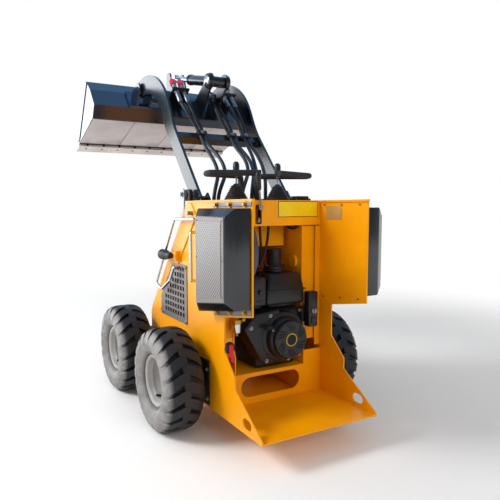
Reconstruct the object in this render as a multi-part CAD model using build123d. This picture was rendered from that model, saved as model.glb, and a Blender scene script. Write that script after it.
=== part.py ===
from build123d import *
import os
from math import atan2, cos, degrees, radians, sin

# All sizes are in millimetres. +Y is forward, +X is right, Z is up from the ground.

# Fits and plate thicknesses
RUNNING_FIT = 0.06
PLATE = 6.0
SHEET = 4.0
THROUGH = 900.0

# Body shell
BODY_HALF = 278.0
DECK_Z = 1000.0
RAIL_TALL = 10.0
RAIL_WIDE = 14.0
RAIL_PROUD = 2.0
RAIL_FRONT = -293.0
FASCIA_Y = -541.0
FASCIA_TALL = 111.0
FASCIA_LIP = 22.0
FLOOR_Z = 114.0
TOE_BELOW = 2.0
TOE_ABOVE = 12.0
STEP_Y = -720.0
STEP_LOW = 258.0
STEP_HIGH = 305.0
REAR_EDGE = -633.0
REAR_EDGE_LOW = 391.0
SLOPE_TOP_Y = -290.0
SLOPE_END = (186.0, 442.0)
SHOULDER_Y = 205.0
SHOULDER_Z = (330.0, 415.0)
NOSE_Y = 295.0
NOSE_TOP = 300.0
PLATFORM_REAR = -920.0
TOE_HOLE = (64.0, 40.0)
TOE_HOLE_AT = (-812.0, 154.0)
POST_WIDE = 25.0
POST_LOW = 330.0
POST_GAP = 4.0
DOUBLER_T = 5.0
DOUBLER_TOP = [(-390.0, 54.0), (-336.0, 2.0), (-293.0, 2.0)]
DOUBLER_FOOT = [(182.0, 440.0), (60.0, 440.0)]

# Kick plate and bay floor
KICK_Y = -556.0
KICK_TOP = 252.0
KICK_RIGHT_TOP = 315.0
KICK_HOLE = (308.0, 88.0)
KICK_HOLE_Z = 190.0
BAY_FRONT = -150.0

# Tower plates beside the engine bay
TOWER_HALF = 176.0
TOWER_REAR = -537.0
TOWER_STEP_Z = (330.0, 360.0)
TOWER_WINDOW_Y = (-90.0, 60.0)
TOWER_WINDOW_Z = (200.0, 380.0)
POCKET_GUARD_Y = -531.0
HOOD_TOP_Y = -346.0
HOOD_FOOT_Y = 124.0
HOOD_FOOT_Z = 450.0
DECK_WIDE_FRONT = -425.0
PANEL_Y = -415.0
PANEL_TALL = 204.0
PANEL_IN = 16.0
LEVER_SLOT_X = (-74.0, -46.0)
LEVER_SLOT_BELOW = (101.0, 21.0)

# Vent plates
VENT_T = 4.0
VENT_OUTLINE = [(-279.0, 430.0), (39.0, 430.0), (39.0, 524.0), (-114.0, 706.0), (-279.0, 706.0)]
VENT_MARGIN = 16.0
VENT_ROWS = 8
VENT_FIRST = (-250.0, 458.0)
VENT_HOLE = 20.0
VENT_STEP = 31.0

# Wheels
TYRE_R = 225.0
AXLE_Z = TYRE_R
AXLE_YS = {"rear": -364.0, "front": 232.0}
TYRE_HALF = 91.0
TREAD_HALF = 56.0
SHOULDER_DROP = 20.0
SHOULDER_WIDE = 84.0
SHOULDER_ROUND_IN = 6.0
SHOULDER_ROUND_UP = 10.0
BEAD_R = 102.0
BEAD_HALF = 60.0
WHEEL_MID = 416.0
RIM_GAP = 0.4
RIM_WALL = 5.0
RIM_LIP_T = 4.0
LIP_R = 113.0
HUB_FACE = 32.0
HUB_R = 34.0
DISH_R = 62.0
DISH_EDGE_R = 86.0
DISH_DEEP = 24.0
DISH_RISE = 10.0
HUB_STEP = 14.0
HUB_FILLET = 20.0
AXLE_R = 25.0
AXLE_IN = 12.0
WHEEL_BOLTS = 5
WHEEL_BOLT_R = 6.0
WHEEL_BOLT_CIRCLE = 51.0
HOUSING_R = 46.0
HOUSING_IN = 20.0
HOUSING_OUT = 42.0
COVER_T = 6.0
COVER_REAR = -501.0
COVER_Z = (124.0, 319.0)
COVER_FRONT_GAP = 5.0

# Lift arm, drawn in the side plane (y, z)
ARM_PIVOT = (-475.0, 720.0)
ARM_START = (-313.0, 997.0)
ARM_ANGLE = 49.7
ARM_HALF_DEPTH = 45.0
ARM_IN = 195.0
ARM_OUT = 245.0
ARM_BOX_START = -20.0
ARM_SWELL_AT = 380.0
BEND_CENTRE = (341.0, 1305.0)
BEND_START = 143.0
BEND_MIDDLE = 105.0
HITCH_PIN = (418.0, 1629.0)
HITCH_PIN_R = 15.0
TIP_R = 45.0
PIVOT_R = 20.0
PIVOT_BOSS = 12.0
PIVOT_COLLAR = 10.0
PIVOT_CAP = 3.0
PIVOT_CAP_T = 4.0
FORK_T = 10.0
FORK_HALF = 44.0
FORK_REAR_AT = -135.0
FORK_LAP = 14.0
BRIDGE_AT = -125.0
BRIDGE_T = 10.0
EYE_BOSS_R = 19.0
EYE_BOSS_LONG = 7.0
BEAM_AT = 414.0
BEAM_SIDE = 40.0
BEAM_WALL = 4.0

# Lift cylinders
LIFT_EYE = (-312.4, 882.6)
LIFT_BASE = (-60.0, 170.0)
LIFT_X = 220.0
LIFT_BARREL_R = 25.0
LIFT_BARREL_LONG = 390.0
LIFT_ROD_R = 13.0
LIFT_ROD_LONG = 430.0
NECK_R = 13.0
NECK_LONG = 48.0
GLAND_LONG = 16.0
GLAND_PROUD = 2.0
BARREL_START = 36.0
LIFT_BORE_START = 48.0
EYE_R = 22.0
EYE_HALF = 14.0
ROD_SHORT = 16.0
BASE_PIN_R = 12.5
PIN_END = 12.0
LUG_T = 8.0
LUG_R = 32.0
LUG_GAP = 2.0
FOOT_HALF = 50.0
FOOT_TOP_HALF = 18.0
FOOT_ABOVE_PIN = 10.0

# Tilt cylinder and the head plate that carries it
TILT_BASE = (-53.0, 1600.0)
TILT_EYE = (481.6, 1730.8)
TILT_BARREL_R = 26.0
TILT_BARREL_LONG = 330.0
TILT_BARREL_START = 24.0
TILT_BORE_START = 34.0
TILT_GLAND_LONG = 18.0
TILT_GLAND = 3.0
TILT_ROD_R = 14.0
TILT_ROD_LONG = 300.0
TILT_EYE_HALF = 16.0
TILT_BASE_EYE_R = 26.0
EAR_IN = 36.0
EAR_T = 10.0
EAR_R = 40.0
EAR_GAP = 2.0
EAR_PIN_END = 6.0
HEAD_ALONG = (550.0, 690.0)
HEAD_BELOW = (-14.0, -4.0)
EAR_FOOT = (565.0, 688.0)
EAR_TOP = (598.0, 660.0)
EAR_REACH = -190.0

# Hose couplings on the head plate
COUPLER_XS = {"left": (-170.0, -128.0), "right": (104.0, 146.0)}
COUPLER_PLATE_ALONG = (630.0, 638.0)
COUPLER_PLATE_REACH = -86.0
COUPLER_PLATE_SIDE = 24.0
COUPLER_BELOW = -58.0
COUPLER_R = 15.0
COUPLER_LONG = 64.0
HOSE_END_R = 14.0
HOSE_END_LONG = 32.0

# Bucket
BUCKET_HALF = 499.0
BUCKET_SHEET = 6.0
BUCKET_TOP = (597.0, 1684.0)
BUCKET_RIM = (520.0, 1626.0)
BUCKET_KINK = (437.0, 1531.0)
BUCKET_HEEL = (478.0, 1464.0)
BUCKET_LIP = (890.0, 1342.2)
END_FRONT = (832.0, 1371.0)
STRIP_T = 4.0
STRIP_FOOT = [(833.0, 1372.0), (806.0, 1380.0), (583.0, 1674.0)]
EDGE_T = 12.0
EDGE_TIP_T = 4.0
EDGE_BACK = 62.0
EDGE_FLAT = 22.0
EDGE_WIDE = 95.0
HITCH_T = 14.0
HITCH_HALF = 300.0
CHEEK_GAP = 5.0
CHEEK_R = 37.0
CHEEK_CORNERS = [(20.0, 34.0), (-34.0, 14.0), (-20.0, -40.0)]
HITCH_PIN_END = 6.0
TILT_LUG_R = 28.0
TILT_LUG_CORNERS = [(27.0, -10.0), (-27.0, 8.0)]
TILT_LUG_FOOT = 10.0

# Wings with their boxes
WING_REAR = -852.0
WING_LOW_REAR = 571.0
WING_LOW_FRONT = 532.0
BOX_WALL_DEEP = 64.0
BOX_DEEP = 99.0
BOX_OUTLINE = [(-845.0, 600.0), (-533.0, 547.0), (-533.0, 967.0), (-845.0, 967.0)]
BOX_FACE = [(-824.0, 629.0), (-588.0, 592.0), (-588.0, 936.0), (-824.0, 936.0)]
BOX_SHEET = 3.0
GRILLE_T = 3.0
GRILLE_LAP = 16.0
FAN_AT = (-708.0, 806.0)
FAN_R = 142.0
FAN_WALL = 6.0
FAN_DEEP = 22.0
FAN_BACK_T = 8.0
FAN_HUB_R = 30.0

# Engine
ENGINE_X = (-95.0, 168.0)
ENGINE_Y = (-560.0, -235.0)
ENGINE_Z = (KICK_TOP, 530.0)
SUMP_CUT = 110.0
CRANK = (43.0, 398.0)
FLANGE_R = 102.0
FLANGE_LONG = 24.0
RECOIL_R = 94.0
RECOIL_LONG = 44.0
RECOIL_ROUND = 8.0
RECOIL_DISC_R = 84.0
RECOIL_DISC_LONG = 10.0
KEY_BOX_X = (171.0, 222.0)
KEY_BOX_Y = (-602.0, -560.0)
KEY_BOX_Z = (432.0, 592.0)
KEY_BOX_ROUND = 5.0
KEY_ARM_X = 160.0
KEY_ARM_Y = -546.0
KEY_ARM_Z = (450.0, 520.0)
TANK_X = (-36.0, 170.0)
TANK_Y = (-578.0, -424.0)
TANK_Z = (536.0, 680.0)
TANK_ROUND = 20.0
TANK_FOOT_IN = 36.0
TANK_FOOT_LAP = 6.0
AIR_X = (-106.0, -40.0)
AIR_Y = (-580.0, -420.0)
AIR_Z = (545.0, 672.0)
AIR_ROUND = 12.0
AIR_FOOT_IN = 11.0
AIR_FOOT_LAP = 15.0
FILLER_AT = (62.0, -482.0)
FILLER_BASE_R = 50.0
FILLER_BASE_TALL = 30.0
FILLER_R = 33.0
FILLER_TOP = 786.0

# Battery switch
SWITCH_WIDE = 36.0
SWITCH_Y = (-628.0, -624.0)
SWITCH_Z = (360.0, 440.0)
KNOB_R = 16.0
KNOB_LONG = 16.0
KNOB_FROM_WALL = 22.0
HANDLE_WIDE = 12.0
HANDLE_LONG = 16.0
HANDLE_Z = (374.0, 404.0)

# Controls
STICK_X = 109.0
STICK_Y = -438.0
STICK_HOLE_R = 22.0
BOOT_R = 54.0
BOOT_FLANGE = 6.0
BOOT_TOP_R = 22.0
BOOT_TALL = 62.0
STEM_R = 6.0
KNOB_Z = (120.0, 170.0)
STICK_KNOB_R = 15.0
STICK_KNOB_ROUND = 8.0
LOOP_R = 13.0
LOOP_BEND = 14.0
LOOP_POST = (42.0, -362.0)
LOOP_CORNERS = [
    (42.0, -362.0, 112.0), (262.0, -450.0, 112.0), (258.0, -480.0, 114.0), (47.0, -541.0, 116.0),
]
LEVER_R = 5.0
LEVER_BEND = 30.0
LEVER_OUT = 34.0
LEVER_FOOT = (-60.0, -85.0)
LEVER_KNEE = (-60.0, -36.0)
LEVER_TOP = (-82.0, 85.0)
GRIP_R = 12.0
GRIP_LONG = 36.0
LEVER_SEAT_BELOW = (95.0, 75.0)
LEVER_SEAT_HALF = 6.0
LEVER_SEAT_OUT = 16.0
CAP_X = (168.0, 250.0)
CAP_Y = (-505.0, -440.0)
CAP_TALL = 20.0
CAP_ROUND = 8.0

# Work lamps and their rod guards
GUARD_OUT = 30.0
GUARD_R = 7.0
GUARD_BEND = 12.0
GUARD_LINE = [
    (-420.0, 920.0), (-207.0, 918.0), (42.0, 590.0), (-40.0, 560.0), (-142.0, 625.0), (-190.0, 690.0),
]
LAMP_OFF = 4.0
LAMP_Z = 745.0
LAMP_Y = (-195.0, -85.0)
LAMP_R = 21.0
LAMP_RIM_R = 26.0
LAMP_RIM_Y = (-91.0, -73.0)
LAMP_FOOT_Y = (-205.0, -195.0)
LAMP_FOOT_HALF = 20.0

NODES = {}


def keep(name, shape):
    NODES[name] = shape


def keep_both(name, right):
    keep(f"{name}_right", right)
    keep(f"{name}_left", mirror(right, Plane.YZ))


def slab(points, x_low, x_high):
    """An outline in the side plane, pulled along x."""
    return Pos(x_low, 0, 0) * extrude(Plane.YZ * Polygon(*points, align=None), x_high - x_low, dir=(1, 0, 0))


def slab_of(edges, x_low, x_high):
    """The same for an outline with arcs."""
    return Pos(x_low, 0, 0) * extrude(Plane.YZ * make_face(edges), x_high - x_low, dir=(1, 0, 0))


def rod_x(at, radius, x_low, x_high):
    return Pos((x_low + x_high) / 2, *at) * Rot(0, 90, 0) * Cylinder(radius, x_high - x_low)


def rod_y(at, radius, y_low, y_high):
    """A round bar along y through (x, z)."""
    return Pos(at[0], (y_low + y_high) / 2, at[1]) * Rot(90, 0, 0) * Cylinder(radius, y_high - y_low)


def rod_z(at, radius, z_low, z_high):
    """A round bar up through (x, y)."""
    return Pos(*at, (z_low + z_high) / 2) * Cylinder(radius, z_high - z_low)


def block(xs, ys, zs):
    low, size = (xs[0], ys[0], zs[0]), (xs[1] - xs[0], ys[1] - ys[0], zs[1] - zs[0])
    return Pos(*(a + b / 2 for a, b in zip(low, size))) * Box(*size)


def tube(points, radius, bend):
    path = FilletPolyline(*points, radius=bend)
    return sweep(Plane(path @ 0, z_dir=path % 0) * Circle(radius), path=path)


def both_ways(shape):
    return shape + mirror(shape, Plane.YZ)


def offset_points(origin, steps):
    return [(origin[0] + step[0], origin[1] + step[1]) for step in steps]


def on_circle(centre, radius, angle):
    return centre[0] + radius * cos(radians(angle)), centre[1] + radius * sin(radians(angle))


def arc(centre, radius, start, end):
    return ThreePointArc(*(on_circle(centre, radius, a) for a in (start, (start + end) / 2, end)))


def on_arm(along, below):
    """A point measured along the straight arm from where it leaves the deck, and square to it."""
    c, s = cos(radians(ARM_ANGLE)), sin(radians(ARM_ANGLE))
    return ARM_START[0] + along * c + below * s, ARM_START[1] + along * s - below * c


def arm_strip(alongs, belows):
    """A four-sided outline between two places along the arm and two depths."""
    return [on_arm(alongs[0], belows[0]), on_arm(alongs[1], belows[0]),
            on_arm(alongs[1], belows[1]), on_arm(alongs[0], belows[1])]


def arm_place(point):
    """The same two measures for a point in the side plane."""
    c, s = cos(radians(ARM_ANGLE)), sin(radians(ARM_ANGLE))
    y, z = point[0] - ARM_START[0], point[1] - ARM_START[1]
    return y * c + z * s, y * s - z * c


def between(a, b, x, body):
    """Sets a body drawn up the Z axis from a towards b in the side plane at x."""
    axis = Vector(0, b[0] - a[0], b[1] - a[1])
    return Plane(origin=(x, *a), x_dir=(1, 0, 0), z_dir=axis) * body


def distance(a, b):
    return ((a[0] - b[0]) ** 2 + (a[1] - b[1]) ** 2) ** 0.5


def bent_sheet(points, thick):
    """Closes an open outline into a sheet of even thickness on its left side."""
    inner = []
    for i, p in enumerate(points):
        sides = []
        for a, b in ((points[max(i - 1, 0)], p), (p, points[min(i + 1, len(points) - 1)])):
            if a != b:
                long = distance(a, b)
                sides.append((-(b[1] - a[1]) / long, (b[0] - a[0]) / long))
        nx, nz = (sum(s[k] for s in sides) / len(sides) for k in (0, 1))
        scale = thick / (nx * nx + nz * nz)
        inner.append((p[0] + nx * scale, p[1] + nz * scale))
    return points + inner[::-1]


def grown(outline, by):
    """A four-sided outline, rear low corner first, moved out on every side."""
    away = ((-by, -by), (by, -by), (by, by), (-by, by))
    return [(y + a, z + b) for (y, z), (a, b) in zip(outline, away)]


# Side plates: one sheet a side, from the nose to the wing beside the operator.
inner_face = BODY_HALF - PLATE
floor_top = FLOOR_Z + PLATE
rail_low = DECK_Z - RAIL_TALL
fascia_low = DECK_Z - FASCIA_TALL
rail_out = BODY_HALF + RAIL_PROUD
side_outline = [
    (PLATFORM_REAR, FLOOR_Z - TOE_BELOW), (PLATFORM_REAR, FLOOR_Z + TOE_ABOVE), (STEP_Y, STEP_LOW),
    (STEP_Y, STEP_HIGH), (REAR_EDGE, REAR_EDGE_LOW), (REAR_EDGE, WING_LOW_FRONT), (WING_REAR, WING_LOW_REAR),
    (WING_REAR, rail_low), (SLOPE_TOP_Y, rail_low), SLOPE_END, (SHOULDER_Y, SHOULDER_Z[1]),
    (SHOULDER_Y, SHOULDER_Z[0]), (NOSE_Y, NOSE_TOP), (NOSE_Y, FLOOR_Z - TOE_BELOW),
]
vent_hole = offset(Polygon(*VENT_OUTLINE, align=None), -VENT_MARGIN, kind=Kind.INTERSECTION)
side = slab(side_outline, inner_face, BODY_HALF)
side += block((rail_out - RAIL_WIDE, rail_out), (WING_REAR, RAIL_FRONT), (rail_low, DECK_Z))
post_z = (POST_LOW, fascia_low - POST_GAP)
side += block((inner_face - POST_WIDE, inner_face), (FASCIA_Y - SHEET, FASCIA_Y), post_z)
side -= extrude(Plane.YZ * vent_hole, THROUGH, dir=(1, 0, 0))
side -= Pos(0, *TOE_HOLE_AT) * Rot(0, 90, 0) * extrude(SlotOverall(*TOE_HOLE, rotation=90), THROUGH)
side -= rod_x(ARM_PIVOT, PIVOT_R, 0, THROUGH)
for axle_y in AXLE_YS.values():
    side -= rod_x((axle_y, AXLE_Z), HOUSING_R, 0, THROUGH)
doubler = [(y, rail_low - below) for y, below in DOUBLER_TOP] + DOUBLER_FOOT
side += slab(doubler, BODY_HALF, BODY_HALF + DOUBLER_T) - slab(VENT_OUTLINE, 0, THROUGH)
keep_both("side_plate", side)

# Vent plates, cut with rows of square holes that stay inside the margin.
vent = slab(VENT_OUTLINE, BODY_HALF, BODY_HALF + VENT_T)
low_front, slope_foot, slope_top = VENT_OUTLINE[1], VENT_OUTLINE[2], VENT_OUTLINE[3]
slope = (slope_foot[0] - slope_top[0]) / (slope_top[1] - slope_foot[1])
for row in range(VENT_ROWS):
    y, z = VENT_FIRST[0], VENT_FIRST[1] + row * VENT_STEP
    front = low_front[0] - 2 * VENT_MARGIN - max(0, z + VENT_HOLE - slope_foot[1]) * slope
    while y + VENT_HOLE < front:
        vent -= block((0, THROUGH), (y, y + VENT_HOLE), (z, z + VENT_HOLE))
        y += VENT_STEP
keep_both("vent_plate", vent)

# Operator platform, then the floor ahead of it with the nose and the feet of the lift cylinders.
keep("platform", block((-inner_face, inner_face), (PLATFORM_REAR, KICK_Y), (FLOOR_Z, floor_top)))
floor = block((-inner_face, inner_face), (KICK_Y, NOSE_Y), (FLOOR_Z, floor_top))
floor += block((-inner_face, inner_face), (NOSE_Y - PLATE, NOSE_Y), (floor_top, NOSE_TOP))
foot = rod_x(LIFT_BASE, BASE_PIN_R, LIFT_X - EYE_HALF - PIN_END, LIFT_X + EYE_HALF + PIN_END)
foot_top = LIFT_BASE[1] + FOOT_ABOVE_PIN
foot_outline = [(LIFT_BASE[0] - FOOT_HALF, floor_top), (LIFT_BASE[0] - FOOT_TOP_HALF, foot_top),
                (LIFT_BASE[0] + FOOT_TOP_HALF, foot_top), (LIFT_BASE[0] + FOOT_HALF, floor_top)]
for low in (LIFT_X - EYE_HALF - LUG_GAP - LUG_T, LIFT_X + EYE_HALF + LUG_GAP):
    foot += slab(foot_outline, low, low + LUG_T)
keep("floor_pan", floor + both_ways(foot))

# Kick plate, with the bay floor behind it.
kick_front = KICK_Y + PLATE
kick = block((-inner_face, inner_face), (KICK_Y, kick_front), (floor_top, KICK_TOP))
kick += block((TOWER_HALF, inner_face), (KICK_Y, kick_front), (KICK_TOP, KICK_RIGHT_TOP))
kick -= Pos(0, kick_front + PLATE, KICK_HOLE_Z) * Rot(90, 0, 0) * extrude(SlotOverall(*KICK_HOLE), 3 * PLATE)
kick += block((-TOWER_HALF, TOWER_HALF), (kick_front, BAY_FRONT), (KICK_TOP - PLATE, KICK_TOP))
keep("kick_plate", kick)

# Tower plates carry the arm pivots, and a guard strip closes each arm pocket from behind.
tower_out = TOWER_HALF + PLATE
deck_low = DECK_Z - PLATE
tower = slab(
    [(kick_front, floor_top), (kick_front, TOWER_STEP_Z[0]), (TOWER_REAR, TOWER_STEP_Z[1]),
     (TOWER_REAR, deck_low), (HOOD_TOP_Y, deck_low), (HOOD_FOOT_Y, HOOD_FOOT_Z), (HOOD_FOOT_Y, floor_top)],
    TOWER_HALF, tower_out)
tower -= block((0, THROUGH), TOWER_WINDOW_Y, TOWER_WINDOW_Z)
guard_y = (POCKET_GUARD_Y, POCKET_GUARD_Y + SHEET)
tower += block((tower_out, inner_face), guard_y, (TOWER_STEP_Z[1], fascia_low - POST_GAP))
pivot = rod_x(ARM_PIVOT, PIVOT_R, TOWER_HALF - PLATE, BODY_HALF + PIVOT_CAP_T)
pivot += rod_x(ARM_PIVOT, PIVOT_R + PIVOT_COLLAR, TOWER_HALF - 2 * PLATE, TOWER_HALF)
pivot += rod_x(ARM_PIVOT, PIVOT_R + PIVOT_CAP, BODY_HALF, BODY_HALF + PIVOT_CAP_T)
keep_both("tower_plate", tower + pivot)

# Hood between the arms, laid on the tower plates.
hood_front = HOOD_FOOT_Y + PLATE
hood_line = [
    (HOOD_TOP_Y, DECK_Z), (HOOD_TOP_Y + PLATE, DECK_Z), (hood_front, HOOD_FOOT_Z), (hood_front, floor_top),
]
hood = slab(bent_sheet(hood_line, SHEET), -tower_out, tower_out)
under_hood = [(2 * HOOD_TOP_Y, deck_low), (HOOD_TOP_Y, deck_low), (HOOD_FOOT_Y, HOOD_FOOT_Z),
              (HOOD_FOOT_Y, 0), (2 * HOOD_TOP_Y, 0)]
hood -= slab(under_hood, -THROUGH, THROUGH)
keep("hood", hood)

# Deck with the panel that hangs under it, and the fascia with the lever's slot.
deck_half = rail_out - RAIL_WIDE
deck = block((-deck_half, deck_half), (FASCIA_Y, DECK_WIDE_FRONT), (deck_low, DECK_Z))
deck += block((-tower_out, tower_out), (DECK_WIDE_FRONT - 1, HOOD_TOP_Y), (deck_low, DECK_Z))
for x in (-STICK_X, STICK_X):
    deck -= rod_z((x, STICK_Y), STICK_HOLE_R, deck_low - PLATE, DECK_Z + PLATE)
panel_half = TOWER_HALF - PANEL_IN
deck += block((-panel_half, panel_half), (PANEL_Y, PANEL_Y + SHEET), (deck_low - PANEL_TALL, deck_low))
keep("deck", deck)
fascia_rear = FASCIA_Y - SHEET
fascia = block((-inner_face, inner_face), (fascia_rear, FASCIA_Y), (fascia_low, rail_low))
fascia += block((-deck_half, deck_half), (fascia_rear, FASCIA_Y), (rail_low, DECK_Z))
fascia_lip_z = (fascia_low, fascia_low + SHEET)
fascia += block((-TOWER_HALF, TOWER_HALF), (FASCIA_Y, FASCIA_Y + FASCIA_LIP), fascia_lip_z)
slot_z = tuple(DECK_Z - below for below in LEVER_SLOT_BELOW)
fascia -= block(LEVER_SLOT_X, (fascia_rear - SHEET, FASCIA_Y + SHEET), slot_z)
keep("rear_fascia", fascia)

# Side covers over the drive chains, with the wheel bearing housings.
cover_front = NOSE_Y - COVER_FRONT_GAP
cover = block((BODY_HALF, BODY_HALF + COVER_T), (COVER_REAR, cover_front), COVER_Z)
for axle_y in AXLE_YS.values():
    cover += rod_x((axle_y, AXLE_Z), HOUSING_R, BODY_HALF - HOUSING_IN, BODY_HALF + HOUSING_OUT)
    cover -= rod_x((axle_y, AXLE_Z), AXLE_R + RUNNING_FIT, 0, THROUGH)
keep_both("chain_cover", cover)

# Wheels: a tyre on a dished rim whose hub shaft runs in the bearing housing.
sidewall_foot = (LIP_R + 1, BEAD_HALF)
sidewall_mid = ((LIP_R + TYRE_R) / 2, TYRE_HALF)
shoulder = (TYRE_R - SHOULDER_DROP, SHOULDER_WIDE)
shoulder_mid = (TYRE_R - SHOULDER_ROUND_IN, SHOULDER_WIDE - SHOULDER_ROUND_UP)
tread_edge = (TYRE_R, TREAD_HALF)


def other_side(point):
    return point[0], -point[1]


tyre_outline = [
    Line((BEAD_R, BEAD_HALF), sidewall_foot),
    ThreePointArc(sidewall_foot, sidewall_mid, shoulder),
    ThreePointArc(shoulder, shoulder_mid, tread_edge),
    Line(tread_edge, other_side(tread_edge)),
    ThreePointArc(other_side(tread_edge), other_side(shoulder_mid), other_side(shoulder)),
    ThreePointArc(other_side(shoulder), other_side(sidewall_mid), other_side(sidewall_foot)),
    Line(other_side(sidewall_foot), (BEAD_R, -BEAD_HALF)),
    Line((BEAD_R, -BEAD_HALF), (BEAD_R, BEAD_HALF)),
]
tyre = revolve(make_face(tyre_outline), Axis.Y)
seat = BEAD_R - RIM_GAP
well = seat - RIM_WALL
lip_in = BEAD_HALF + RIM_GAP
lip_out = lip_in + RIM_LIP_T
dish = HUB_FACE - DISH_DEEP
dish_edge = dish + DISH_RISE
axle_end = BODY_HALF - WHEEL_MID - AXLE_IN
rim_outline = [
    (0, HUB_FACE), (HUB_R, HUB_FACE), (HUB_R + RIM_WALL, HUB_FACE - HUB_STEP), (DISH_R, dish),
    (DISH_EDGE_R, dish_edge + RIM_WALL), (well, lip_out), (LIP_R, lip_out), (LIP_R, lip_in), (seat, lip_in),
    (seat, -lip_in), (LIP_R, -lip_in), (LIP_R, -lip_out), (well, -lip_out), (well, dish_edge),
    (DISH_EDGE_R, dish_edge), (DISH_R, dish - RIM_WALL), (HUB_R + RIM_WALL, dish - RIM_WALL),
    (AXLE_R, dish - HUB_FILLET), (AXLE_R, axle_end), (0, axle_end),
]
rim = revolve(make_face(Polyline(*rim_outline, close=True)), Axis.Y)
for i in range(WHEEL_BOLTS):
    hole = rod_y((WHEEL_BOLT_CIRCLE, 0), WHEEL_BOLT_R, dish - 2 * RIM_WALL, HUB_FACE)
    rim -= Rot(0, i * 360 / WHEEL_BOLTS, 0) * hole
for row, axle_y in AXLE_YS.items():
    place = Pos(WHEEL_MID, axle_y, AXLE_Z) * Rot(0, 0, -90)
    for name, body in (("tyre", place * tyre), ("rim", place * rim)):
        keep(f"{row}_right_{name}", body)
        keep(f"{row}_left_{name}", mirror(body, Plane.YZ))

# Lift arms: straight box arms that swell into a curved head over the hitch.
tip_angle = degrees(atan2(HITCH_PIN[1] - BEND_CENTRE[1], HITCH_PIN[0] - BEND_CENTRE[0]))
outer_r = distance(BEND_CENTRE, HITCH_PIN) + TIP_R
inner_r = outer_r - 2 * TIP_R
bend_along, bend_below = arm_place(BEND_CENTRE)
bend_meets = bend_along - (inner_r ** 2 - (bend_below - ARM_HALF_DEPTH) ** 2) ** 0.5
arm_rear = on_arm(ARM_SWELL_AT, -ARM_HALF_DEPTH)
arm_front = on_arm(bend_meets, ARM_HALF_DEPTH)
box_rear = on_arm(ARM_BOX_START, -ARM_HALF_DEPTH)
box_front = on_arm(ARM_BOX_START, ARM_HALF_DEPTH)
head_start = on_circle(BEND_CENTRE, outer_r, BEND_START)
head_top = on_circle(BEND_CENTRE, outer_r, tip_angle)
head_low = on_circle(BEND_CENTRE, inner_r, tip_angle)
arm_outline = [
    Line(box_rear, arm_rear),
    Line(arm_rear, head_start),
    arc(BEND_CENTRE, outer_r, BEND_START, tip_angle),
    ThreePointArc(head_top, on_circle(HITCH_PIN, TIP_R, tip_angle - 90), head_low),
    ThreePointArc(head_low, on_circle(BEND_CENTRE, inner_r, BEND_MIDDLE), arm_front),
    Line(arm_front, box_front),
    Line(box_front, box_rear),
]
arm = slab_of(arm_outline, ARM_IN, ARM_OUT)
pivot_along, pivot_below = arm_place(ARM_PIVOT)
eye_along, eye_below = arm_place(LIFT_EYE)
fork = [
    on_arm(pivot_along, pivot_below + FORK_HALF), on_arm(eye_along, eye_below + LUG_R),
    on_arm(eye_along + LUG_R + 2, eye_below + LUG_R - FORK_LAP), on_arm(FORK_LAP, ARM_HALF_DEPTH),
    on_arm(FORK_LAP, -ARM_HALF_DEPTH), on_arm(FORK_REAR_AT, -ARM_HALF_DEPTH),
    on_arm(pivot_along, pivot_below - FORK_HALF),
]
for low in (ARM_IN, ARM_OUT - FORK_T):
    arm += slab(fork, low, low + FORK_T)
    arm += rod_x(ARM_PIVOT, ARM_HALF_DEPTH, low, low + FORK_T)
arm += rod_x(ARM_PIVOT, PIVOT_R + PIVOT_BOSS, ARM_IN, ARM_OUT)
bridge = arm_strip((BRIDGE_AT, ARM_BOX_START), (-ARM_HALF_DEPTH, BRIDGE_T - ARM_HALF_DEPTH))
arm += slab(bridge, ARM_IN, ARM_OUT)
arm += rod_x(LIFT_EYE, EYE_BOSS_R, ARM_OUT, ARM_OUT + EYE_BOSS_LONG)
arm -= rod_x(ARM_PIVOT, PIVOT_R + RUNNING_FIT, 0, THROUGH)
arm -= rod_x(HITCH_PIN, HITCH_PIN_R + RUNNING_FIT, 0, THROUGH)
keep_both("lift_arm", arm)

# Square cross tube and the head plate that carries the tilt cylinder's ears.


def tube_outline(half):
    return arm_strip((BEAM_AT - half, BEAM_AT + half), (-half, half))


half_side = BEAM_SIDE / 2
beam = slab(tube_outline(half_side), -ARM_IN, ARM_IN)
beam -= slab(tube_outline(half_side - BEAM_WALL), -ARM_IN, ARM_IN)
keep("cross_tube", beam)
head_plate = slab(arm_strip(HEAD_ALONG, HEAD_BELOW), -ARM_IN, ARM_IN)
ear_outline = [on_arm(EAR_FOOT[0], HEAD_BELOW[0]), on_arm(EAR_FOOT[1], HEAD_BELOW[0]),
               on_arm(EAR_TOP[1], EAR_REACH), on_arm(EAR_TOP[0], EAR_REACH)]
ear_out = EAR_IN + EAR_T
for low in (EAR_IN, -ear_out):
    head_plate += slab(ear_outline, low, low + EAR_T) + rod_x(TILT_BASE, EAR_R, low, low + EAR_T)
head_plate += rod_x(TILT_BASE, BASE_PIN_R, -ear_out - EAR_PIN_END, ear_out + EAR_PIN_END)
keep("head_plate", head_plate)

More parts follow.
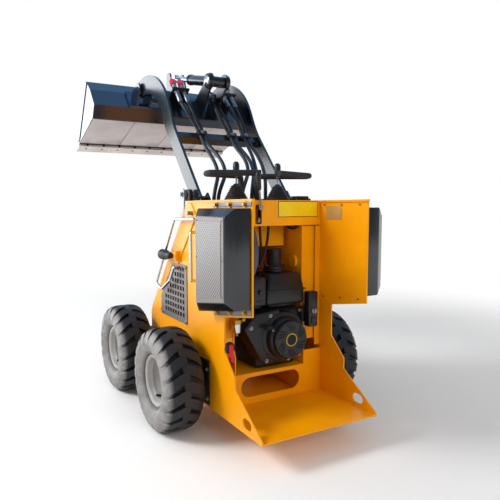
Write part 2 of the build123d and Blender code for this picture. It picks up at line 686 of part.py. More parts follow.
# Hose couplings: a plate on the head with two couplings a side.
plate_outline = arm_strip(COUPLER_PLATE_ALONG, (HEAD_BELOW[0], COUPLER_PLATE_REACH))
arm_up = (0, cos(radians(ARM_ANGLE)), sin(radians(ARM_ANGLE)))
coupling = Pos(0, 0, COUPLER_LONG / 2) * Cylinder(COUPLER_R, COUPLER_LONG)
hose_end = Pos(0, 0, -HOSE_END_LONG / 2) * Cylinder(HOSE_END_R, HOSE_END_LONG)
for side_name, xs in COUPLER_XS.items():
    plate = slab(plate_outline, min(xs) - COUPLER_PLATE_SIDE, max(xs) + COUPLER_PLATE_SIDE)
    for x in xs:
        plate += Plane(origin=(x, *on_arm(COUPLER_PLATE_ALONG[1], COUPLER_BELOW)), z_dir=arm_up) * coupling
        plate += Plane(origin=(x, *on_arm(COUPLER_PLATE_ALONG[0], COUPLER_BELOW)), z_dir=arm_up) * hose_end
    keep(f"aux_couplers_{side_name}", plate)

# Lift cylinders inside the arm pockets.
lift_long = distance(LIFT_BASE, LIFT_EYE)
barrel = rod_z((0, 0), LIFT_BARREL_R, BARREL_START, LIFT_BARREL_LONG)
barrel += rod_z((0, 0), NECK_R, 0, NECK_LONG)
barrel += rod_z((0, 0), LIFT_BARREL_R + GLAND_PROUD, LIFT_BARREL_LONG - GLAND_LONG, LIFT_BARREL_LONG)
barrel -= rod_z((0, 0), LIFT_ROD_R + RUNNING_FIT, LIFT_BORE_START, lift_long)
barrel = between(LIFT_BASE, LIFT_EYE, LIFT_X, barrel)
barrel += rod_x(LIFT_BASE, EYE_R, LIFT_X - EYE_HALF, LIFT_X + EYE_HALF)
barrel -= rod_x(LIFT_BASE, BASE_PIN_R + RUNNING_FIT, 0, THROUGH)
keep_both("lift_barrel", barrel)
rod = rod_z((0, 0), LIFT_ROD_R, lift_long - LIFT_ROD_LONG, lift_long - ROD_SHORT)
rod = between(LIFT_BASE, LIFT_EYE, LIFT_X, rod)
rod += rod_x(LIFT_EYE, EYE_R, LIFT_X - EYE_HALF, LIFT_X + EYE_HALF)
keep_both("lift_rod", rod)

# Tilt cylinder.
tilt_long = distance(TILT_BASE, TILT_EYE)
barrel = rod_z((0, 0), TILT_BARREL_R, TILT_BARREL_START, TILT_BARREL_LONG)
barrel += rod_z((0, 0), TILT_BARREL_R + TILT_GLAND, TILT_BARREL_LONG - TILT_GLAND_LONG, TILT_BARREL_LONG)
barrel -= rod_z((0, 0), TILT_ROD_R + RUNNING_FIT, TILT_BORE_START, tilt_long)
barrel = between(TILT_BASE, TILT_EYE, 0, barrel)
barrel += rod_x(TILT_BASE, TILT_BASE_EYE_R, EAR_GAP - EAR_IN, EAR_IN - EAR_GAP)
barrel -= rod_x(TILT_BASE, BASE_PIN_R + RUNNING_FIT, -THROUGH, THROUGH)
keep("tilt_barrel", barrel)
rod = rod_z((0, 0), TILT_ROD_R, tilt_long - TILT_ROD_LONG, tilt_long - ROD_SHORT)
rod = between(TILT_BASE, TILT_EYE, 0, rod) + rod_x(TILT_EYE, EYE_R, -TILT_EYE_HALF, TILT_EYE_HALF)
keep("tilt_rod", rod)

# Bucket: a bent shell between end plates, with its bolted edge.
profile = [BUCKET_TOP, BUCKET_RIM, BUCKET_KINK, BUCKET_HEEL, BUCKET_LIP]
end_in = BUCKET_HALF - BUCKET_SHEET
shell = slab(bent_sheet(profile, BUCKET_SHEET), -end_in, end_in)
shell += both_ways(slab(profile + [END_FRONT], end_in, BUCKET_HALF))
shell += both_ways(slab([BUCKET_TOP] + STRIP_FOOT, BUCKET_HALF, BUCKET_HALF + STRIP_T))
keep("bucket_shell", shell)
lip_run = Vector(BUCKET_LIP[0] - BUCKET_HEEL[0], BUCKET_LIP[1] - BUCKET_HEEL[1]).normalized()
lip_down = Vector(lip_run.Y, -lip_run.X)


def on_lip(along, below):
    return tuple(Vector(*BUCKET_LIP) + lip_run * along + lip_down * below)[:2]


edge_tip = on_lip(EDGE_WIDE - EDGE_BACK, EDGE_T - EDGE_TIP_T)
edge_outline = [on_lip(-EDGE_BACK, 0), on_lip(-EDGE_BACK, EDGE_T), on_lip(EDGE_FLAT, EDGE_T), edge_tip,
                on_lip(EDGE_FLAT, 0)]
keep("cutting_edge", slab(edge_outline, -BUCKET_HALF, BUCKET_HALF))

# Hitch frame on the bucket's back: cheeks either side of each arm, and lugs for the tilt rod.
hitch = slab(bent_sheet([BUCKET_RIM, BUCKET_KINK], -HITCH_T), -HITCH_HALF, HITCH_HALF)
cheek_outline = [BUCKET_RIM] + offset_points(HITCH_PIN, CHEEK_CORNERS) + [BUCKET_KINK]
cheek_in, cheek_out = ARM_IN - CHEEK_GAP - EAR_T, ARM_OUT + CHEEK_GAP
for low in (cheek_in, cheek_out):
    hitch += both_ways(slab(cheek_outline, low, low + EAR_T) + rod_x(HITCH_PIN, CHEEK_R, low, low + EAR_T))
hitch += both_ways(rod_x(HITCH_PIN, HITCH_PIN_R, cheek_in - HITCH_PIN_END, cheek_out + EAR_T + HITCH_PIN_END))
lug_outline = [BUCKET_RIM] + offset_points(TILT_EYE, TILT_LUG_CORNERS)
lug_outline += [(HITCH_PIN[0] - TILT_LUG_FOOT, HITCH_PIN[1] - TILT_LUG_FOOT), BUCKET_KINK]
hitch += both_ways(slab(lug_outline, EAR_IN, ear_out) + rod_x(TILT_EYE, TILT_LUG_R, EAR_IN, ear_out))
keep("hitch", hitch)

# Black boxes on the wings, open towards the wing, with an outer panel.


def box_body(grow):
    wall = BODY_HALF + BOX_WALL_DEEP
    rings = []
    for x, outline in ((wall, BOX_OUTLINE), (BODY_HALF + BOX_DEEP + min(grow, 0), BOX_FACE)):
        rings.append(Plane.YZ.offset(x) * Polygon(*grown(outline, grow), align=None))
    return slab(grown(BOX_OUTLINE, grow), BODY_HALF, wall) + loft(rings)


box = box_body(0) - box_body(-BOX_SHEET)
box -= slab(grown(BOX_FACE, -GRILLE_LAP), BODY_HALF + BOX_WALL_DEEP, THROUGH)
box += slab(BOX_FACE, BODY_HALF + BOX_DEEP, BODY_HALF + BOX_DEEP + GRILLE_T)
keep_both("wing_box", box)

# Fan shroud on the left wing's inner face.
fan = rod_x(FAN_AT, FAN_R, -inner_face, FAN_DEEP - inner_face)
fan -= rod_x(FAN_AT, FAN_R - FAN_WALL, FAN_BACK_T - inner_face, THROUGH)
fan -= rod_x(FAN_AT, FAN_HUB_R, -THROUGH, THROUGH)
keep("fan_shroud", fan)

# Engine with its key box, and the recoil starter on its crankshaft.
engine_rear = ENGINE_Y[0]
engine = block(ENGINE_X, ENGINE_Y, ENGINE_Z)
engine -= Pos(ENGINE_X[0], engine_rear, ENGINE_Z[0]) * Rot(0, 45, 0) * Box(SUMP_CUT, THROUGH, SUMP_CUT)
engine += rod_y(CRANK, FLANGE_R, engine_rear - FLANGE_LONG, engine_rear)
key_box = fillet(block(KEY_BOX_X, KEY_BOX_Y, KEY_BOX_Z).edges().group_by(Axis.Y)[0], KEY_BOX_ROUND)
engine += key_box + block((KEY_ARM_X, KEY_BOX_X[1]), (KEY_BOX_Y[1], KEY_ARM_Y), KEY_ARM_Z)
keep("engine", engine)
recoil_rear = engine_rear - FLANGE_LONG - RECOIL_LONG
recoil = rod_y(CRANK, RECOIL_R, recoil_rear, engine_rear - FLANGE_LONG)
recoil = fillet(recoil.edges().group_by(Axis.Y)[0], RECOIL_ROUND)
recoil += rod_y(CRANK, RECOIL_DISC_R, recoil_rear - RECOIL_DISC_LONG, recoil_rear)
keep("recoil_starter", recoil)

# Fuel tank with its filler, and the air filter, on the engine.
tank_foot_x = (TANK_X[0] + TANK_FOOT_IN, TANK_X[1] - TANK_FOOT_IN)
tank_foot_y = (TANK_Y[0] + TANK_FOOT_IN, TANK_Y[1] - TANK_FOOT_IN)
tank = fillet(block(TANK_X, TANK_Y, TANK_Z).edges(), TANK_ROUND)
keep("fuel_tank", tank + block(tank_foot_x, tank_foot_y, (ENGINE_Z[1], TANK_Z[0] + TANK_FOOT_LAP)))
filler = rod_z(FILLER_AT, FILLER_BASE_R, TANK_Z[1], TANK_Z[1] + FILLER_BASE_TALL)
keep("filler_neck", filler + rod_z(FILLER_AT, FILLER_R, TANK_Z[1], FILLER_TOP))
air_foot_x = (AIR_X[0] + AIR_FOOT_IN, AIR_X[1] - AIR_FOOT_IN)
air_foot_y = (AIR_Y[0] + TANK_FOOT_IN, AIR_Y[1] - TANK_FOOT_IN)
air = fillet(block(AIR_X, AIR_Y, AIR_Z).edges(), AIR_ROUND)
keep("air_filter", air + block(air_foot_x, air_foot_y, (ENGINE_Z[1], AIR_Z[0] + AIR_FOOT_LAP)))

# Battery switch on the left wall.
switch = block((-inner_face, SWITCH_WIDE - inner_face), SWITCH_Y, SWITCH_Z)
knob_x, knob_rear = KNOB_FROM_WALL - inner_face, SWITCH_Y[0] - KNOB_LONG
switch += rod_y((knob_x, sum(SWITCH_Z) / 2), KNOB_R, knob_rear, SWITCH_Y[0])
handle_x = (knob_x - HANDLE_WIDE / 2, knob_x + HANDLE_WIDE / 2)
switch += block(handle_x, (knob_rear - HANDLE_LONG, knob_rear), HANDLE_Z)
keep("battery_switch", switch)

# Control sticks and the foam grab loops round them.
for side_name, x in (("left", -STICK_X), ("right", STICK_X)):
    at = (x, STICK_Y)
    boot = Cone(BOOT_R - BOOT_FLANGE, BOOT_TOP_R, BOOT_TALL - BOOT_FLANGE)
    stick = rod_z(at, BOOT_R, DECK_Z, DECK_Z + BOOT_FLANGE)
    stick += Pos(*at, DECK_Z + (BOOT_TALL + BOOT_FLANGE) / 2) * boot
    stick += rod_z(at, STEM_R, DECK_Z + BOOT_TALL, DECK_Z + KNOB_Z[1])
    stick += rod_z(at, STICK_KNOB_R, DECK_Z + KNOB_Z[0], DECK_Z + KNOB_Z[1])
    keep(f"joystick_{side_name}", fillet(stick.edges().group_by(Axis.Z)[-1], STICK_KNOB_ROUND))
loop_line = [(*LOOP_POST, DECK_Z)] + [(x, y, DECK_Z + z) for x, y, z in LOOP_CORNERS]
keep_both("grab_loop", tube(loop_line, LOOP_R, LOOP_BEND))

# Throttle lever, seated in its slot, and the cap beside it.
lever_y = FASCIA_Y - LEVER_OUT
lever_foot = (LEVER_FOOT[0], FASCIA_Y - LEVER_SEAT_OUT / 2, DECK_Z + LEVER_FOOT[1])
lever_knee = (LEVER_KNEE[0], lever_y, DECK_Z + LEVER_KNEE[1])
lever_top = (LEVER_TOP[0], lever_y, DECK_Z + LEVER_TOP[1])
seat_z = tuple(DECK_Z - below for below in LEVER_SEAT_BELOW)
lever = tube([lever_foot, lever_knee, lever_top], LEVER_R, LEVER_BEND)
lever += rod_z(lever_top[:2], GRIP_R, lever_top[2] - GRIP_R / 2, lever_top[2] + GRIP_LONG)
lever += block((LEVER_FOOT[0] - LEVER_SEAT_HALF, LEVER_FOOT[0] + LEVER_SEAT_HALF),
               (FASCIA_Y - LEVER_SEAT_OUT, FASCIA_Y + SHEET), seat_z)
lever += block(LEVER_SLOT_X, (fascia_rear, FASCIA_Y), seat_z)
keep("throttle_lever", lever)
cap = block(CAP_X, CAP_Y, (DECK_Z, DECK_Z + CAP_TALL))
keep("deck_cap", fillet(cap.edges().group_by(Axis.Z)[-1], CAP_ROUND))

# Work lamps with their rod guards.
guard_x = BODY_HALF + GUARD_OUT
guard = tube([(BODY_HALF, *GUARD_LINE[0])] + [(guard_x, *p) for p in GUARD_LINE]
             + [(BODY_HALF + VENT_T, *GUARD_LINE[-1])], GUARD_R, GUARD_BEND)
lamp_at = (guard_x + LAMP_OFF, LAMP_Z)
lamp = rod_y(lamp_at, LAMP_R, *LAMP_Y) + rod_y(lamp_at, LAMP_RIM_R, *LAMP_RIM_Y)
lamp_foot_z = (LAMP_Z - LAMP_FOOT_HALF, LAMP_Z + LAMP_FOOT_HALF)
lamp += block((BODY_HALF + DOUBLER_T, lamp_at[0]), LAMP_FOOT_Y, lamp_foot_z)
keep_both("lamp_guard", guard + lamp)

os.makedirs("parts", exist_ok=True)
for node, shape in NODES.items():
    shape.label = node
    export_step(shape, f"parts/{node}.step")
    print(node, len(shape.solids()), round(shape.volume / 1000))
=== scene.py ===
# %% [markdown]
# A stand-on mini loader, finished over its CAD frame. The frame carries the joints and the real sizes of
# every part. The solids that show most are redrawn here with their bolts, folds and tread, and the plain
# plates keep their CAD shape and only take paint. Working over the frame, rather than modelling freely,
# keeps every piece on its joint.

# %% load the frame
from math import cos, pi, radians, sin, sqrt

import bmesh
import bpy
from mathutils import Matrix, Vector


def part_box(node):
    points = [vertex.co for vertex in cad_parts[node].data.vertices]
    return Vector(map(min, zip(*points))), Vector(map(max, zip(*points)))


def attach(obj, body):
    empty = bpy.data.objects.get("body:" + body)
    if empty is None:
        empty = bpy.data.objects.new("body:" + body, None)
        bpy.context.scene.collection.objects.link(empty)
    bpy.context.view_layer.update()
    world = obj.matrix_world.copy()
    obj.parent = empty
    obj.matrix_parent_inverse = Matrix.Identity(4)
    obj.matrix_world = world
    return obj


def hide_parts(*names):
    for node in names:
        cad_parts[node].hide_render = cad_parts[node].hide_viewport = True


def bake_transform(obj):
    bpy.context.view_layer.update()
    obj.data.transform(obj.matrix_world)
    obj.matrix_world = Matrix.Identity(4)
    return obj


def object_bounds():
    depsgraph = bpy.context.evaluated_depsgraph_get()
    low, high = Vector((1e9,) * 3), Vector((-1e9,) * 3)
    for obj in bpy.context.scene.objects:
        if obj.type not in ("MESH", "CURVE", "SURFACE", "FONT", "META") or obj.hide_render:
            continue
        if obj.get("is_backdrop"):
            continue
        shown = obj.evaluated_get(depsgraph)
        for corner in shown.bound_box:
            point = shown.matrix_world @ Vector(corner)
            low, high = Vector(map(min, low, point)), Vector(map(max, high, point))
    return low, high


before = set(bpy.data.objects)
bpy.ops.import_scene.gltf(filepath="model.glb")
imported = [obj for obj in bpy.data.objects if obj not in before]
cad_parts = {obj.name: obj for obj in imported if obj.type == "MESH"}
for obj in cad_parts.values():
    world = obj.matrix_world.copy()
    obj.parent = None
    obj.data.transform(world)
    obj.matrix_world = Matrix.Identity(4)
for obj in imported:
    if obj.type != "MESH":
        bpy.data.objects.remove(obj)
cad_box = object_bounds()
MM = 0.001

# %% [markdown]
# Every finish below is a small tree of shader nodes. Colours are written as they look on a screen, and one
# function turns them into the linear values that light needs. Textures are set in millimetres: a noise of
# scale 1 has features about a metre wide, so the scale for a real size is one over that size in metres.

# %% colour and node helpers


def linear(code):
    parts = [int(code[i:i + 2], 16) / 255 for i in (0, 2, 4)]
    return tuple(c / 12.92 if c <= 0.04045 else ((c + 0.055) / 1.055) ** 2.4 for c in parts) + (1.0,)


def per_mm(size):
    return 1.0 / (size * MM)


def add(tree, kind, inputs=None, links=None, **settings):
    node = tree.nodes.new(kind)
    for name, value in settings.items():
        setattr(node, name, value)
    for socket, value in (inputs or {}).items():
        node.inputs[socket].default_value = value
    for socket, source in (links or {}).items():
        tree.links.new(source, node.inputs[socket])
    return node


def start_material(name):
    material = bpy.data.materials.new(name)
    material.use_nodes = True
    tree = material.node_tree
    return material, tree, tree.nodes["Principled BSDF"], add(tree, "ShaderNodeTexCoord").outputs["Object"]


print("paint yellow in linear light", [round(c, 3) for c in linear("F8A400")])

# %% [markdown]
# Painted steel is most of this machine. Sprayed paint drifts in tone over a hand's width, it is a little
# rougher where it is dusty, and its surface has an orange peel that softens reflections. A flat colour with
# one roughness would look like plastic, so both are fed from noise, and the bevel node rounds the edges as
# a coat of paint does.

# %% painted steel
TONE_MM, SPECK_MM, PAINT_EDGE_MM = 150, 26, 2
# Orange peel is about 2 mm across; it is drawn at 8 mm, because anything finer is lost at this distance.
PEEL_MM = 8


def sprayed_paint(name, colour, worn, roughness, ior):
    material, tree, shader, place = start_material(name)
    drift = add(tree, "ShaderNodeTexNoise", {"Scale": per_mm(TONE_MM), "Detail": 4.0}, {"Vector": place})
    spread = add(tree, "ShaderNodeMapRange", {"From Min": 0.35, "From Max": 0.75},
                 {"Value": drift.outputs["Fac"]})
    tone = add(tree, "ShaderNodeMix", {"A": linear(colour), "B": linear(worn)},
               {"Factor": spread.outputs["Result"]}, data_type="RGBA")
    tree.links.new(tone.outputs["Result"], shader.inputs["Base Color"])
    speck = add(tree, "ShaderNodeTexNoise", {"Scale": per_mm(SPECK_MM), "Detail": 7.0, "Roughness": 0.7},
                {"Vector": place})
    rough = add(tree, "ShaderNodeMapRange", {"To Min": roughness, "To Max": roughness + 0.1},
                {"Value": speck.outputs["Fac"]})
    tree.links.new(rough.outputs["Result"], shader.inputs["Roughness"])
    shader.inputs["IOR"].default_value = ior
    peel = add(tree, "ShaderNodeTexNoise", {"Scale": per_mm(PEEL_MM), "Detail": 2.0}, {"Vector": place})
    soft_edge = add(tree, "ShaderNodeBevel", {"Radius": PAINT_EDGE_MM * MM}, samples=4)
    bump = add(tree, "ShaderNodeBump", {"Strength": 0.06, "Distance": 0.001},
               {"Height": peel.outputs["Fac"], "Normal": soft_edge.outputs["Normal"]})
    tree.links.new(bump.outputs["Normal"], shader.inputs["Normal"])
    return material


# Warm yellow with little shine, so it keeps its depth of colour in the light.
yellow = sprayed_paint("yellow_sprayed_paint", "F8A400", "F09800", 0.3, 1.42)
# Deep gloss black, whose shape is told by what it mirrors.
arm_black = sprayed_paint("arm_gloss_black_paint", "0B0E13", "121720", 0.16, 1.62)
# The bucket's black is tinted navy, a painted reflection of the blue sky, besides what the gloss really
# mirrors.
bucket_black_painted_sky_tint = sprayed_paint("bucket_gloss_black_with_painted_sky_tint", "0F1D30", "13233A", 0.1, 1.75)
box_black = sprayed_paint("box_gloss_black_paint", "0C0F14", "11151B", 0.14, 1.7)
# Satin black, broader highlights that show the castings.
satin_black = sprayed_paint("satin_black_engine_paint", "141517", "1B1C1F", 0.34, 1.5)
# Silver wheel enamel, pale and even, so the steps of the dish show as rings.
rim_silver = sprayed_paint("silver_wheel_paint", "A5A29E", "86807A", 0.36, 1.5)
# Pale grey for the cutting edge and the floor plates, a painted reflection of the bright floor in their gloss
# black; glossy enough to mirror the floor softly as well.
edge_painted_floor_reflection = sprayed_paint("edge_paint_with_painted_floor_reflection", "DCD2CE", "BFB5B1", 0.38, 1.7)
floor_plate_painted_reflection = sprayed_paint("floor_plate_paint_with_painted_reflection", "BDB4B2", "A9A09D", 0.26, 1.9)
print("paints", [m.name for m in bpy.data.materials if "paint" in m.name])

# %% [markdown]
# Bare metal shows what it was made with. Brushed stainless has fine lines along one way, chrome is nearly a
# mirror, and the zinc on bolts is a dull gold. One function makes them all: a noise stretched along Z gives
# the brush lines, and it drives both the tone and the roughness, since a scratch is darker and rougher at
# once.

# %% bare metals
# Brush lines are a fraction of a millimetre wide; they are drawn at 4 mm, to be seen at all from here.
BRUSH_MM, BRUSH_LONG_MM = 4, 110
METAL_EDGE_MM = 1


def bare_metal(name, colour, roughness, brush):
    material, tree, shader, place = start_material(name)
    shader.inputs["Metallic"].default_value = 1.0
    brushed = (per_mm(BRUSH_MM), per_mm(BRUSH_MM), per_mm(BRUSH_LONG_MM))
    stretch = add(tree, "ShaderNodeMapping", {"Scale": brushed}, {"Vector": place})
    grain = add(tree, "ShaderNodeTexNoise", {"Scale": 1.0, "Detail": 3.0},
                {"Vector": stretch.outputs["Vector"]})
    dark = tuple(0.72 * c for c in linear(colour)[:3]) + (1.0,)
    tone = add(tree, "ShaderNodeMix", {"A": linear(colour), "B": dark}, {"Factor": grain.outputs["Fac"]},
               data_type="RGBA")
    tree.links.new(tone.outputs["Result"], shader.inputs["Base Color"])
    rough = add(tree, "ShaderNodeMapRange", {"To Min": roughness, "To Max": roughness + brush},
                {"Value": grain.outputs["Fac"]})
    tree.links.new(rough.outputs["Result"], shader.inputs["Roughness"])
    soft_edge = add(tree, "ShaderNodeBevel", {"Radius": METAL_EDGE_MM * MM}, samples=4)
    tree.links.new(soft_edge.outputs["Normal"], shader.inputs["Normal"])
    return material


# Brushed stainless gives a broad soft sheen, chrome a mirror, zinc a dull gold, and fittings a plain grey.
stainless = bare_metal("brushed_stainless", "8F8883", 0.42, 0.2)
chrome = bare_metal("polished_chrome", "DDE0E4", 0.08, 0.06)
zinc = bare_metal("yellow_zinc_bolts", "C79A3C", 0.3, 0.15)
dull_steel = bare_metal("dull_steel_fittings", "A3A4A6", 0.3, 0.2)
gold = bare_metal("gold_ring", "C9A24A", 0.3, 0.1)
print("metals", [m.name for m in (stainless, chrome, zinc, dull_steel, gold)])

# %% [markdown]
# The cooler grilles are sheet punched with staggered holes. Cutting some two thousand holes in each would be
# slow and too fine to see, so the holes are drawn by the material: two crossed sine waves in the sheet's
# plane, turned 45 degrees, rise above a limit at every hole. Where there is a hole the metal gives way to a
# painted dark, which stands for the shade behind it.

# %% punched sheet
# Such holes are usually some 5 mm apart; they are drawn at 11 mm, so that they can be told apart from here.
PITCH = 11.0
HOLE_FROM, HOLE_FULL = 0.42, 0.52


def punched_sheet():
    material, tree, shader, place = start_material("punched_stainless")
    turned = add(tree, "ShaderNodeMapping",
                 {"Rotation": (radians(45), 0, 0), "Scale": (pi * per_mm(PITCH),) * 3},
                 {"Vector": place}, vector_type="POINT")
    split = add(tree, "ShaderNodeSeparateXYZ", None, {"Vector": turned.outputs["Vector"]})
    waves = [add(tree, "ShaderNodeMath", None, {0: split.outputs[axis]}, operation="SINE")
             for axis in ("Y", "Z")]
    both = add(tree, "ShaderNodeMath", None, {0: waves[0].outputs[0], 1: waves[1].outputs[0]},
               operation="MULTIPLY")
    size = add(tree, "ShaderNodeMath", None, {0: both.outputs[0]}, operation="ABSOLUTE")
    hole = add(tree, "ShaderNodeMapRange", {"From Min": HOLE_FROM, "From Max": HOLE_FULL},
               {"Value": size.outputs[0]})
    # Each hole is painted dark: painted shade where the box behind would be in shadow.
    colour = add(tree, "ShaderNodeMix", {"A": linear("8E8886"), "B": linear("231F28")},
                 {"Factor": hole.outputs["Result"]}, data_type="RGBA")
    tree.links.new(colour.outputs["Result"], shader.inputs["Base Color"])
    metal = add(tree, "ShaderNodeMapRange", {"To Min": 0.8, "To Max": 0.0}, {"Value": hole.outputs["Result"]})
    tree.links.new(metal.outputs["Result"], shader.inputs["Metallic"])
    shader.inputs["Roughness"].default_value = 0.4
    return material


punched = punched_sheet()
print("holes every", PITCH, "mm")

# %% [markdown]
# Rubber and plastic are dark with a fine grain. Tyres need more: their outer walls are grey with dry dust
# while the tread stays dark, so a mask made from the distance to the machine's middle brings the dust in on
# the walls only.

# %% rubber and plastics
CLOUD_MM, MOULD_EDGE_MM = 60, 1.5
WALL_FROM, WALL_TO = 474.0, 492.0


def moulded(name, colour, roughness, grain_mm, grain, dusty=None):
    material, tree, shader, place = start_material(name)
    cloud = add(tree, "ShaderNodeTexNoise", {"Scale": per_mm(CLOUD_MM), "Detail": 6.0, "Roughness": 0.65},
                {"Vector": place})
    amount = add(tree, "ShaderNodeMapRange", {"From Min": 0.4, "From Max": 0.72, "To Max": 0.3},
                 {"Value": cloud.outputs["Fac"]})
    lift = tuple(min(1.0, 1.7 * c + 0.004) for c in linear(colour)[:3]) + (1.0,)
    tone = add(tree, "ShaderNodeMix", {"A": linear(colour), "B": lift}, {"Factor": amount.outputs["Result"]},
               data_type="RGBA")
    if dusty:
        side = add(tree, "ShaderNodeSeparateXYZ", None, {"Vector": place})
        far = add(tree, "ShaderNodeMath", None, {0: side.outputs["X"]}, operation="ABSOLUTE")
        wall = add(tree, "ShaderNodeMapRange", {"From Min": WALL_FROM * MM, "From Max": WALL_TO * MM},
                   {"Value": far.outputs[0]})
        patch = add(tree, "ShaderNodeMapRange",
                    {"From Min": 0.3, "From Max": 0.6, "To Min": 0.55, "To Max": 1.0},
                    {"Value": cloud.outputs["Fac"]})
        film = add(tree, "ShaderNodeMath", None, {0: wall.outputs["Result"], 1: patch.outputs["Result"]},
                   operation="MULTIPLY")
        tone = add(tree, "ShaderNodeMix", {"B": linear(dusty)},
                   {"Factor": film.outputs[0], "A": tone.outputs["Result"]}, data_type="RGBA")
    tree.links.new(tone.outputs["Result"], shader.inputs["Base Color"])
    shader.inputs["Roughness"].default_value = roughness
    fine = add(tree, "ShaderNodeTexNoise", {"Scale": per_mm(grain_mm), "Detail": 3.0}, {"Vector": place})
    soft_edge = add(tree, "ShaderNodeBevel", {"Radius": MOULD_EDGE_MM * MM}, samples=4)
    bump = add(tree, "ShaderNodeBump", {"Strength": grain, "Distance": 0.0008},
               {"Height": fine.outputs["Fac"], "Normal": soft_edge.outputs["Normal"]})
    tree.links.new(bump.outputs["Normal"], shader.inputs["Normal"])
    return material


# Grains are drawn at 3 mm and up, several times their real size, because finer ones blur to nothing here.
# Rubber is dull, foam duller still, plastic has a low sheen, and the lens is smooth.
tyre_rubber = moulded("tyre_rubber", "1E1D20", 0.6, 6, 0.35, "8C8886")
hose_rubber = moulded("hose_rubber", "141416", 0.45, 3, 0.15)
boot_rubber = moulded("boot_rubber", "1A1B1E", 0.5, 3, 0.15)
foam_grip = moulded("foam_grip", "202226", 0.75, 4, 0.4)
black_plastic = moulded("grained_black_plastic", "17181B", 0.4, 3, 0.2)
# Near-black for a real black badge disc, and as painted shade: the liners behind the vent slots, the
# starter's slots and the edge bolt holes.
dark_bay = moulded("dark_bay_liner", "101113", 0.7, 8, 0.1)
red_plastic = moulded("red_plastic", "C4121C", 0.35, 3, 0.08)
grey_plastic = moulded("grey_shroud_plastic", "3B424C", 0.45, 4, 0.1)
sign_yellow = moulded("blank_sign_film", "F5C70A", 0.35, 5, 0.03)
sign_grey = moulded("blank_data_plate", "B08A4E", 0.35, 5, 0.05)
lens_clear = moulded("lamp_lens", "C9CED4", 0.1, 12, 0.1)
print("finishes ready", len(bpy.data.materials))

# %% [markdown]
# Mesh helpers. Each piece is drawn in millimetres in the machine's own frame and scaled once to metres, so
# every number can be read against a drawing. A piece may hold several materials, given in order, and each
# helper paints what it made.

# %% finishing a piece
SMOOTH_BELOW = 38.0


def finish_piece(name, bm, materials, body, hides=(), smooth_below=SMOOTH_BELOW):
    bmesh.ops.remove_doubles(bm, verts=bm.verts, dist=0.005)
    bmesh.ops.recalc_face_normals(bm, faces=bm.faces)
    for face in bm.faces:
        face.smooth = True
    for edge in bm.edges:
        edge.smooth = len(edge.link_faces) == 2 and edge.calc_face_angle(0.0) < radians(smooth_below)
    bmesh.ops.scale(bm, vec=(MM, MM, MM), verts=bm.verts)
    mesh = bpy.data.meshes.new(name)
    bm.to_mesh(mesh)
    bm.free()
    piece = bpy.data.objects.new(name, mesh)
    bpy.context.scene.collection.objects.link(piece)
    for material in materials:
        mesh.materials.append(material)
    if body:
        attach(piece, body)
    if hides:
        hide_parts(*hides)
    print(name, len(mesh.polygons), "faces")
    return piece


def paint_new(bm, known, index):
    for face in bm.faces:
        if face not in known:
            face.material_index = index


print("edges that fold less than", SMOOTH_BELOW, "degrees are shaded smooth")

# %% boxes, plates and turned shapes
# No turned piece reaches farther than this from its frame
TURNED_REACH = 700.0


def facing(at, direction):
    """A frame at a point whose Z axis looks along a direction."""
    return Matrix.Translation(at) @ Vector(direction).to_track_quat("Z", "Y").to_matrix().to_4x4()


def round_edges(bm, edges, round_mm, segments):
    bmesh.ops.bevel(bm, geom=edges, offset=round_mm, segments=segments, profile=0.5, affect="EDGES",
                    material=-1)


def box(bm, xs, ys, zs, round_mm=0.0, index=0, segments=2):
    known = set(bm.faces)
    centre = Vector([(a + b) / 2 for a, b in (xs, ys, zs)])
    size = [abs(b - a) for a, b in (xs, ys, zs)]
    placed = Matrix.Translation(centre) @ Matrix.Diagonal((*size, 1.0))
    made = bmesh.ops.create_cube(bm, size=1.0, matrix=placed)
    if round_mm:
        edges = list({e for v in made["verts"] for e in v.link_edges})
        round_edges(bm, edges, round_mm, segments)
    paint_new(bm, known, index)


def boxes(bm, parts):
    """Draws a table of boxes: width, depth and height, then rounding, material and rounding steps."""
    for sizes in parts.values():
        box(bm, *sizes)
    print("boxes:", ", ".join(parts))


def stack(bm, rings, round_mm=0.0, index=0, segments=2):
    """Extrudes a first outline through the others, corner to corner, and returns the last face."""
    known = set(bm.faces)
    corners = [bm.verts.new(corner) for corner in rings[0]]
    face = bm.faces.new(corners)
    for before, after in zip(rings, rings[1:]):
        grown = bmesh.ops.extrude_face_region(bm, geom=[face, *face.edges])["geom"]
        face = next(g for g in grown if isinstance(g, bmesh.types.BMFace))
        for vert in face.verts:
            nearest = min(range(len(before)), key=lambda i: (vert.co - Vector(before[i])).length)
            vert.co = after[nearest]
    if round_mm:
        edges = list({e for f in bm.faces if f not in known for e in f.edges})
        round_edges(bm, edges, round_mm, segments)
    paint_new(bm, known, index)
    return face


def prism(bm, outline, x_low, x_high, round_mm=0.0, index=0):
    """An outline in the side plane, pulled along X."""
    return stack(bm, [[(x, y, z) for y, z in outline] for x in (x_low, x_high)], round_mm, index)


def lathe(bm, profile, place, steps=32, index=0):
    """Turns a line of (radius, height) points about the Z axis of a frame."""
    known = set(bm.faces)
    verts = [bm.verts.new(place @ Vector((r, 0.0, h))) for r, h in profile]
    edges = [bm.edges.new(pair) for pair in zip(verts, verts[1:])]
    axis = place.to_3x3() @ Vector((0, 0, 1))
    bmesh.ops.spin(bm, geom=verts + edges, cent=place.translation, axis=axis, dvec=(0, 0, 0), angle=2 * pi,
                   steps=steps, use_merge=True, use_duplicate=False)
    near = [v for v in bm.verts if (v.co - place.translation).length < TURNED_REACH]
    bmesh.ops.remove_doubles(bm, verts=near, dist=0.01)
    paint_new(bm, known, index)


